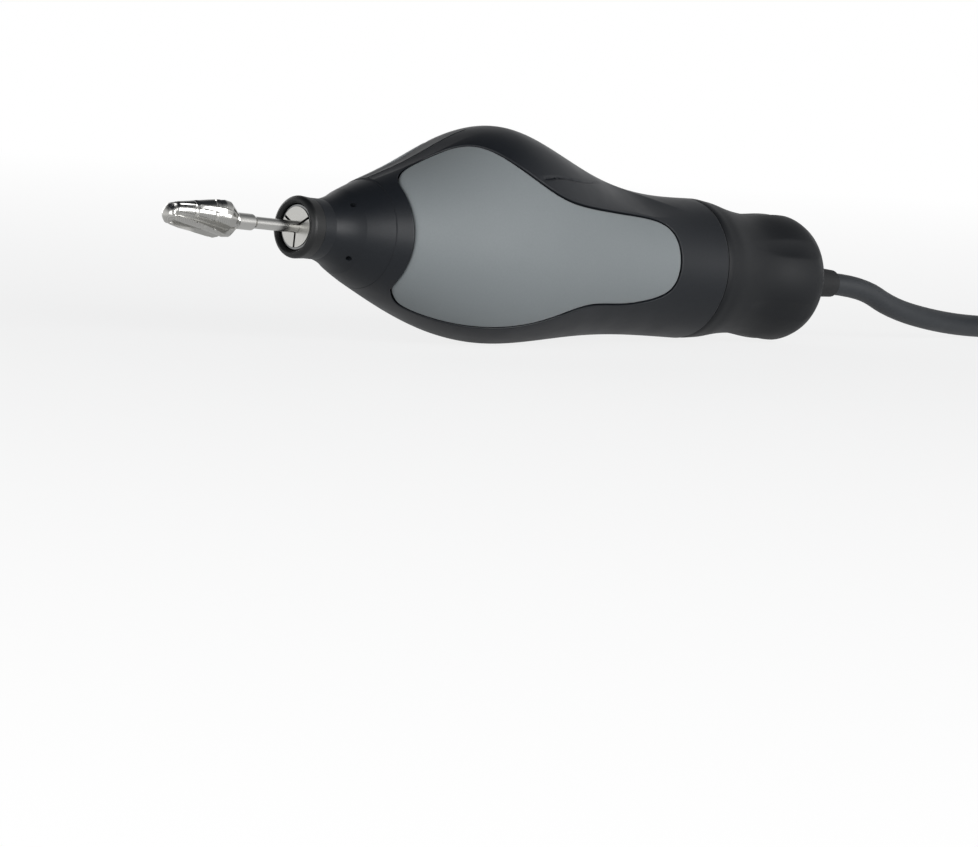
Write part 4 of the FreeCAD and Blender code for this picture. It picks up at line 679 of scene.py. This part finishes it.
class HANDPIECE_OT_grip_shell(bpy.types.Operator):
    """The black shell with its pad recesses, the flats in its neck and the parting line on its crest"""
    bl_idname = "handpiece.grip_shell"
    bl_label = "Grip shell"

    def execute(self, context):
        settings = context.scene.handpiece_grip
        gap = settings.pad_gap * 1000
        depth = settings.recess_depth * 1000
        parameters = np.linspace(0, len(PAD_OUTLINE), settings.outline_steps, endpoint=False)
        rows = []
        for out, height in [(0, -depth), *RECESS_RIM]:
            edge = grown_outline(parameters, gap + out)
            rows.append(grip_point(edge[:, 0], edge[:, 1], height))
        edge = grown_outline(parameters, gap + RECESS_EDGE)
        border = self.border(parameters)
        for share in SHEET_SHARES:
            spot = edge + (border - edge) * share
            height = shell_relief(spot[:, 0], spot[:, 1])
            rows.append(grip_point(spot[:, 0], spot[:, 1], height))
        rear = [self.ring(SHELL_REAR - back, drop) for back, drop in REAR_ROUND]
        front = [self.ring(SHELL_FRONT + back, drop) for back, drop in FRONT_ROUND]
        grids = [(rows, True), (mirrored(rows), True), (rear, True), (front, True)]
        mesh = sheet_mesh("grip_shell_skin", grids, weld=0.00002)
        shell = new_piece("grip_shell_skin", mesh, "moulded_black_abs", "housing")
        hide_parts("grip_shell")
        return {"FINISHED"}

    def border(self, parameters):
        """The edge of the half shell's sheet, opposite each point of the pad's outline."""
        count = len(PAD_OUTLINE)
        marks = OUTLINE_CORNERS
        first, last = SHELL_FRONT + SHEET_INSET, SHELL_REAR - SHEET_INSET
        stops = [(marks["front_bottom"] - count, first, -90), (marks["front_top"], first, 90),
                 (marks["rear_top"], last, 90), (marks["rear_bottom"], last, -90),
                 (marks["front_bottom"], first, -90), (marks["front_top"] + count, first, 90)]
        stations, places, angles = np.array(stops, float).T
        corners = np.stack([np.interp(parameters, stations, values) for values in (places, angles)], -1)
        for station, place, angle in stops:
            nearest = np.argmin(np.abs(np.mod(parameters - station + count / 2, count) - count / 2))
            corners[nearest] = place, angle
        return corners

    def ring(self, place, drop):
        """A ring round the whole grip, sunk by drop."""
        angles = np.linspace(-90, 270, RING_STEPS, endpoint=False)
        side = np.where(angles > 90, 180 - angles, angles)
        place = np.full(RING_STEPS, place)
        radius = grip_radius(place, side) - drop
        turn = np.radians(angles)
        return np.stack([place, -radius * np.cos(turn), radius * np.sin(turn)], -1)


class HANDPIECE_OT_grip_pads(bpy.types.Operator):
    """The two soft grey pads"""
    bl_idname = "handpiece.grip_pads"
    bl_label = "Grip pads"

    def execute(self, context):
        settings = context.scene.handpiece_grip
        parameters = np.linspace(0, len(PAD_OUTLINE), settings.outline_steps, endpoint=False)
        rows = []
        for inward, height in PAD_EDGE:
            edge = grown_outline(parameters, -inward)
            rows.append(grip_point(edge[:, 0], edge[:, 1], height))
        middle = np.array(PAD_MIDDLE)
        for share in PAD_SHARES:
            spot = middle + (edge - middle) * share
            rows.append(grip_point(spot[:, 0], spot[:, 1], 0.0))
        for name, grid in (("left_grip_pad", rows), ("right_grip_pad", mirrored(rows))):
            mesh = sheet_mesh(name + "_skin", [(grid, True)])
            self.close(mesh)
            pad = new_piece(name + "_skin", mesh, "soft_touch_elastomer", "housing")
            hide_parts(name)
        return {"FINISHED"}

    def close(self, mesh):
        """Fill the small hole in the middle of the pad."""
        build = bmesh.new()
        build.from_mesh(mesh)
        open_edges = [edge for edge in build.edges if edge.is_boundary]
        middle = min(open_edges, key=lambda edge: edge.calc_length())
        ring = {middle}
        grown = True
        while grown:
            beside = {e for edge in ring for vert in edge.verts for e in vert.link_edges}
            more = {edge for edge in beside if edge.is_boundary} - ring
            grown = bool(more)
            ring |= more
        bmesh.ops.contextual_create(build, geom=list(ring))
        build.to_mesh(mesh)
        build.free()


class HANDPIECE_OT_release_sleeve(bpy.types.Operator):
    """The black sleeve with six soft flutes and a rounded heel"""
    bl_idname = "handpiece.release_sleeve"
    bl_label = "Release sleeve"

    def execute(self, context):
        stations, radii = np.array(SLEEVE_PROFILE).T
        lengths = np.concatenate([[0], np.cumsum(np.hypot(np.diff(stations), np.diff(radii)))])
        along = np.linspace(0, lengths[-1], 130)
        places = spline(lengths, stations, along)
        reaches = spline(lengths, radii, along)
        steps = 288
        turn = np.linspace(0, 2 * math.pi, steps, endpoint=False)
        fluted = [(place, reach - self.flute(place, reach, turn)) for place, reach in zip(places, reaches)]
        rows = turned_rows([SLEEVE_LIP, *fluted, *SLEEVE_BORE], steps)
        mesh = sheet_mesh("release_sleeve_skin", [(rows, True)])
        # The sleeve's finish carries painted shade: its black is painted darker than the grip's
        sleeve = new_piece("release_sleeve_skin", mesh, "textured_black_abs_painted_shade", "sleeve")
        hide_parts("release_sleeve")
        return {"FINISHED"}

    def flute(self, place, reach, turn):
        """Depth of the flutes at a place on the axis, round the sleeve."""
        depth = FLUTE_DEPTH * smooth_step(place, *FLUTE_RISE) * (1 - smooth_step(place, *FLUTE_FADE))
        half = math.pi / FLUTES
        from_middle = np.mod(turn - math.pi / 2 + half, 2 * half) - half
        cut = depth - reach * from_middle ** 2
        soft = 0.5 * (cut + np.sqrt(cut ** 2 + FLUTE_SOFTNESS ** 2))
        return np.where(depth > 0, soft * smooth_step(depth, 0, 0.2), 0)


class HANDPIECE_OT_cutter_head(bpy.types.Operator):
    """The carbide head with its coarse twisted blades"""
    bl_idname = "handpiece.cutter_head"
    bl_label = "Cutter head"

    def execute(self, context):
        settings = context.scene.handpiece_cutter
        stations, radii = np.array(HEAD_PROFILE).T
        places = np.concatenate([np.linspace(0, 1, 14), np.linspace(1.2, stations[-1], 96)])
        rows = []
        for place in places:
            radius = float(np.interp(place, stations, radii))
            depth = settings.flute_depth * 1000 * radius / radii.max() * float(smooth_step(place, 0.2, 2.2))
            depth *= 1 - float(smooth_step(place, stations[-1] - 0.9, stations[-1]))
            points = []
            for blade in range(settings.blades):
                for phase, height in BLADE_SECTION:
                    angle = settings.twist * place / stations[-1]
                    angle += 2 * math.pi * (blade + phase) / settings.blades
                    on_back = phase > 0.45 or phase == 0
                    notch = self.notch(place, blade) * min(1, radius / 3) if on_back else 0
                    distance = radius - depth * (1 - height) - notch
                    points.append((HEAD_TIP + place, -distance * math.cos(angle), distance * math.sin(angle)))
            rows.append(np.array(points))
        centre = np.array([HEAD_TIP, 0, 0])
        rows.insert(0, np.repeat([centre], len(rows[0]), 0))
        mesh = sheet_mesh("cutter_head_skin", [(rows, True)], weld=0.000002)
        head = new_piece("cutter_head_skin", mesh, "ground_carbide", "cutter")
        head.data.set_sharp_from_angle(angle=math.radians(24))
        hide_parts("cutter_head")
        return {"FINISHED"}

    def notch(self, place, blade):
        """Depth of the notches across one blade, at a place behind the tip."""
        away = [(place - first - NOTCH_STEP * blade) / NOTCH_WIDTH for first in NOTCHES]
        return NOTCH_DEPTH * sum(math.exp(-share ** 2) for share in away)


class HANDPIECE_OT_disc_springs(bpy.types.Operator):
    """The stack of conical washers that pulls the collet shut"""
    bl_idname = "handpiece.disc_springs"
    bl_label = "Disc springs"

    def execute(self, context):
        pitch = SPRINGS_LENGTH / SPRING_COUNT
        cone = pitch - SPRING_WALL - 0.02
        inner, outer = SPRING_RADII
        grids = []
        for step in range(SPRING_COUNT):
            start = SPRINGS_START + pitch * step
            near, far = (start, start + cone) if step % 2 == 0 else (start + cone, start)
            section = [(near, inner), (near + SPRING_WALL, inner), (far + SPRING_WALL, outer), (far, outer),
                       (near, inner)]
            grids.append((turned_rows(section), True))
        mesh = sheet_mesh("disc_springs_skin", grids, weld=0.000001)
        springs = new_piece("disc_springs_skin", mesh, "blued_spring_steel", "spindle")
        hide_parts("disc_springs")
        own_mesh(springs)
        return {"FINISHED"}


class HANDPIECE_OT_cord(bpy.types.Operator):
    """The cord from the gland over the floor into its hank and on to the plug"""
    bl_idname = "handpiece.cord"
    bl_label = "Cord"

    def execute(self, context):
        settings = context.scene.handpiece_cord
        points = [Vector(point) for point in CORD_ROUTE]
        points.extend(self.hank_points(settings))
        points.extend(Vector(point) for point in TAIL_ROUTE)
        curve = bpy.data.curves.new("cord", "CURVE")
        curve.dimensions = "3D"
        curve.bevel_depth = settings.diameter / 2
        curve.bevel_resolution = 6
        curve.resolution_u = 6
        line = curve.splines.new("NURBS")
        line.points.add(len(points) - 1)
        for spot, point in zip(line.points, points):
            spot.co = (*(MILLIMETRES @ point), 1)
        line.order_u = 3
        line.use_endpoint_u = True
        curve.materials.append(MATERIALS["extruded_silicone"])
        cord = bpy.data.objects.new("cord", curve)
        context.scene.collection.objects.link(cord)
        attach(cord, "housing")
        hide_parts("cord_lead", "cord_hank", "cord_tail")
        return {"FINISHED"}

    def hank_points(self, settings):
        """Long turns that lie beside and on each other, from the floor up."""
        beside = settings.diameter * 1000 * HANK_SPACING
        above = settings.diameter * 1000
        turns = HANK_SHARE * len(HANK_PLACES) - HANK_END
        points = []
        steps = int(turns * HANK_STEPS)
        for step in range(1, steps + 1):
            turn = turns * step / steps
            state = turn / HANK_SHARE
            before = HANK_PLACES[min(int(state), len(HANK_PLACES) - 1)]
            after = HANK_PLACES[min(int(state) + 1, len(HANK_PLACES) - 1)]
            share = float(smooth_step(state - int(state), HANK_CROSSING, 1.0))
            column = before[0] + (after[0] - before[0]) * share
            layer = before[1] + (after[1] - before[1]) * share
            x, y = self.loop_point(turn % 1, HANK_FOLD - beside * column)
            points.append(Vector((HANK_CENTRE[0] + x, HANK_CENTRE[1] + y, above * (layer + 0.5))))
        return points

    def loop_point(self, share, radius):
        """A point on a loop of two straight runs and two folds, from the near end of its far run."""
        half = HANK_RUN / 2
        length = 2 * HANK_RUN + 2 * math.pi * HANK_FOLD
        along = share * length
        fold = math.pi * HANK_FOLD
        if along < HANK_RUN:
            return along - half, radius
        if along < HANK_RUN + fold:
            turn = math.pi / 2 - (along - HANK_RUN) / HANK_FOLD
            return half + radius * math.cos(turn), radius * math.sin(turn)
        if along < 2 * HANK_RUN + fold:
            return half - (along - HANK_RUN - fold), -radius
        turn = -math.pi / 2 - (along - 2 * HANK_RUN - fold) / HANK_FOLD
        return -half + radius * math.cos(turn), radius * math.sin(turn)


class HANDPIECE_PT_panel(bpy.types.Panel):
    """Buttons and sizes of the handpiece"""
    bl_idname = "HANDPIECE_PT_panel"
    bl_label = "Handpiece"
    bl_space_type = "VIEW_3D"
    bl_region_type = "UI"
    bl_category = "Handpiece"

    def draw(self, context):
        layout = self.layout
        scene = context.scene
        for group in (getattr(scene, name) for name in SETTINGS):
            for name in group.__annotations__:
                layout.prop(group, name)
        for operator in OPERATORS:
            layout.operator(operator.bl_idname)


OPERATORS = (
    HANDPIECE_OT_stage, HANDPIECE_OT_cord, HANDPIECE_OT_node_finishes, HANDPIECE_OT_grip_shell,
    HANDPIECE_OT_grip_pads, HANDPIECE_OT_release_sleeve, HANDPIECE_OT_cutter_head, HANDPIECE_OT_disc_springs,
)
SETTINGS = {
    "handpiece_grip": GripSettings,
    "handpiece_cutter": CutterSettings,
    "handpiece_cord": CordSettings,
    "handpiece_stage": StageSettings,
}


def register():
    """Register the settings, operators and panel."""
    for group in SETTINGS.values():
        bpy.utils.register_class(group)
    for operator in OPERATORS:
        bpy.utils.register_class(operator)
    bpy.utils.register_class(HANDPIECE_PT_panel)
    for name, group in SETTINGS.items():
        setattr(bpy.types.Scene, name, bpy.props.PointerProperty(type=group))


def unregister():
    """Take them out again."""
    for name in SETTINGS:
        delattr(bpy.types.Scene, name)
    bpy.utils.unregister_class(HANDPIECE_PT_panel)
    for operator in reversed(OPERATORS):
        bpy.utils.unregister_class(operator)
    for group in SETTINGS.values():
        bpy.utils.unregister_class(group)


def main():
    """Build the pieces in order."""
    register()
    make_materials()
    bpy.ops.handpiece.stage()
    bpy.ops.handpiece.cord()
    bpy.ops.handpiece.node_finishes()
    bpy.ops.handpiece.grip_shell()
    bpy.ops.handpiece.grip_pads()
    bpy.ops.handpiece.release_sleeve()
    bpy.ops.handpiece.cutter_head()
    bpy.ops.handpiece.disc_springs()


if __name__ == "__main__":
    main()
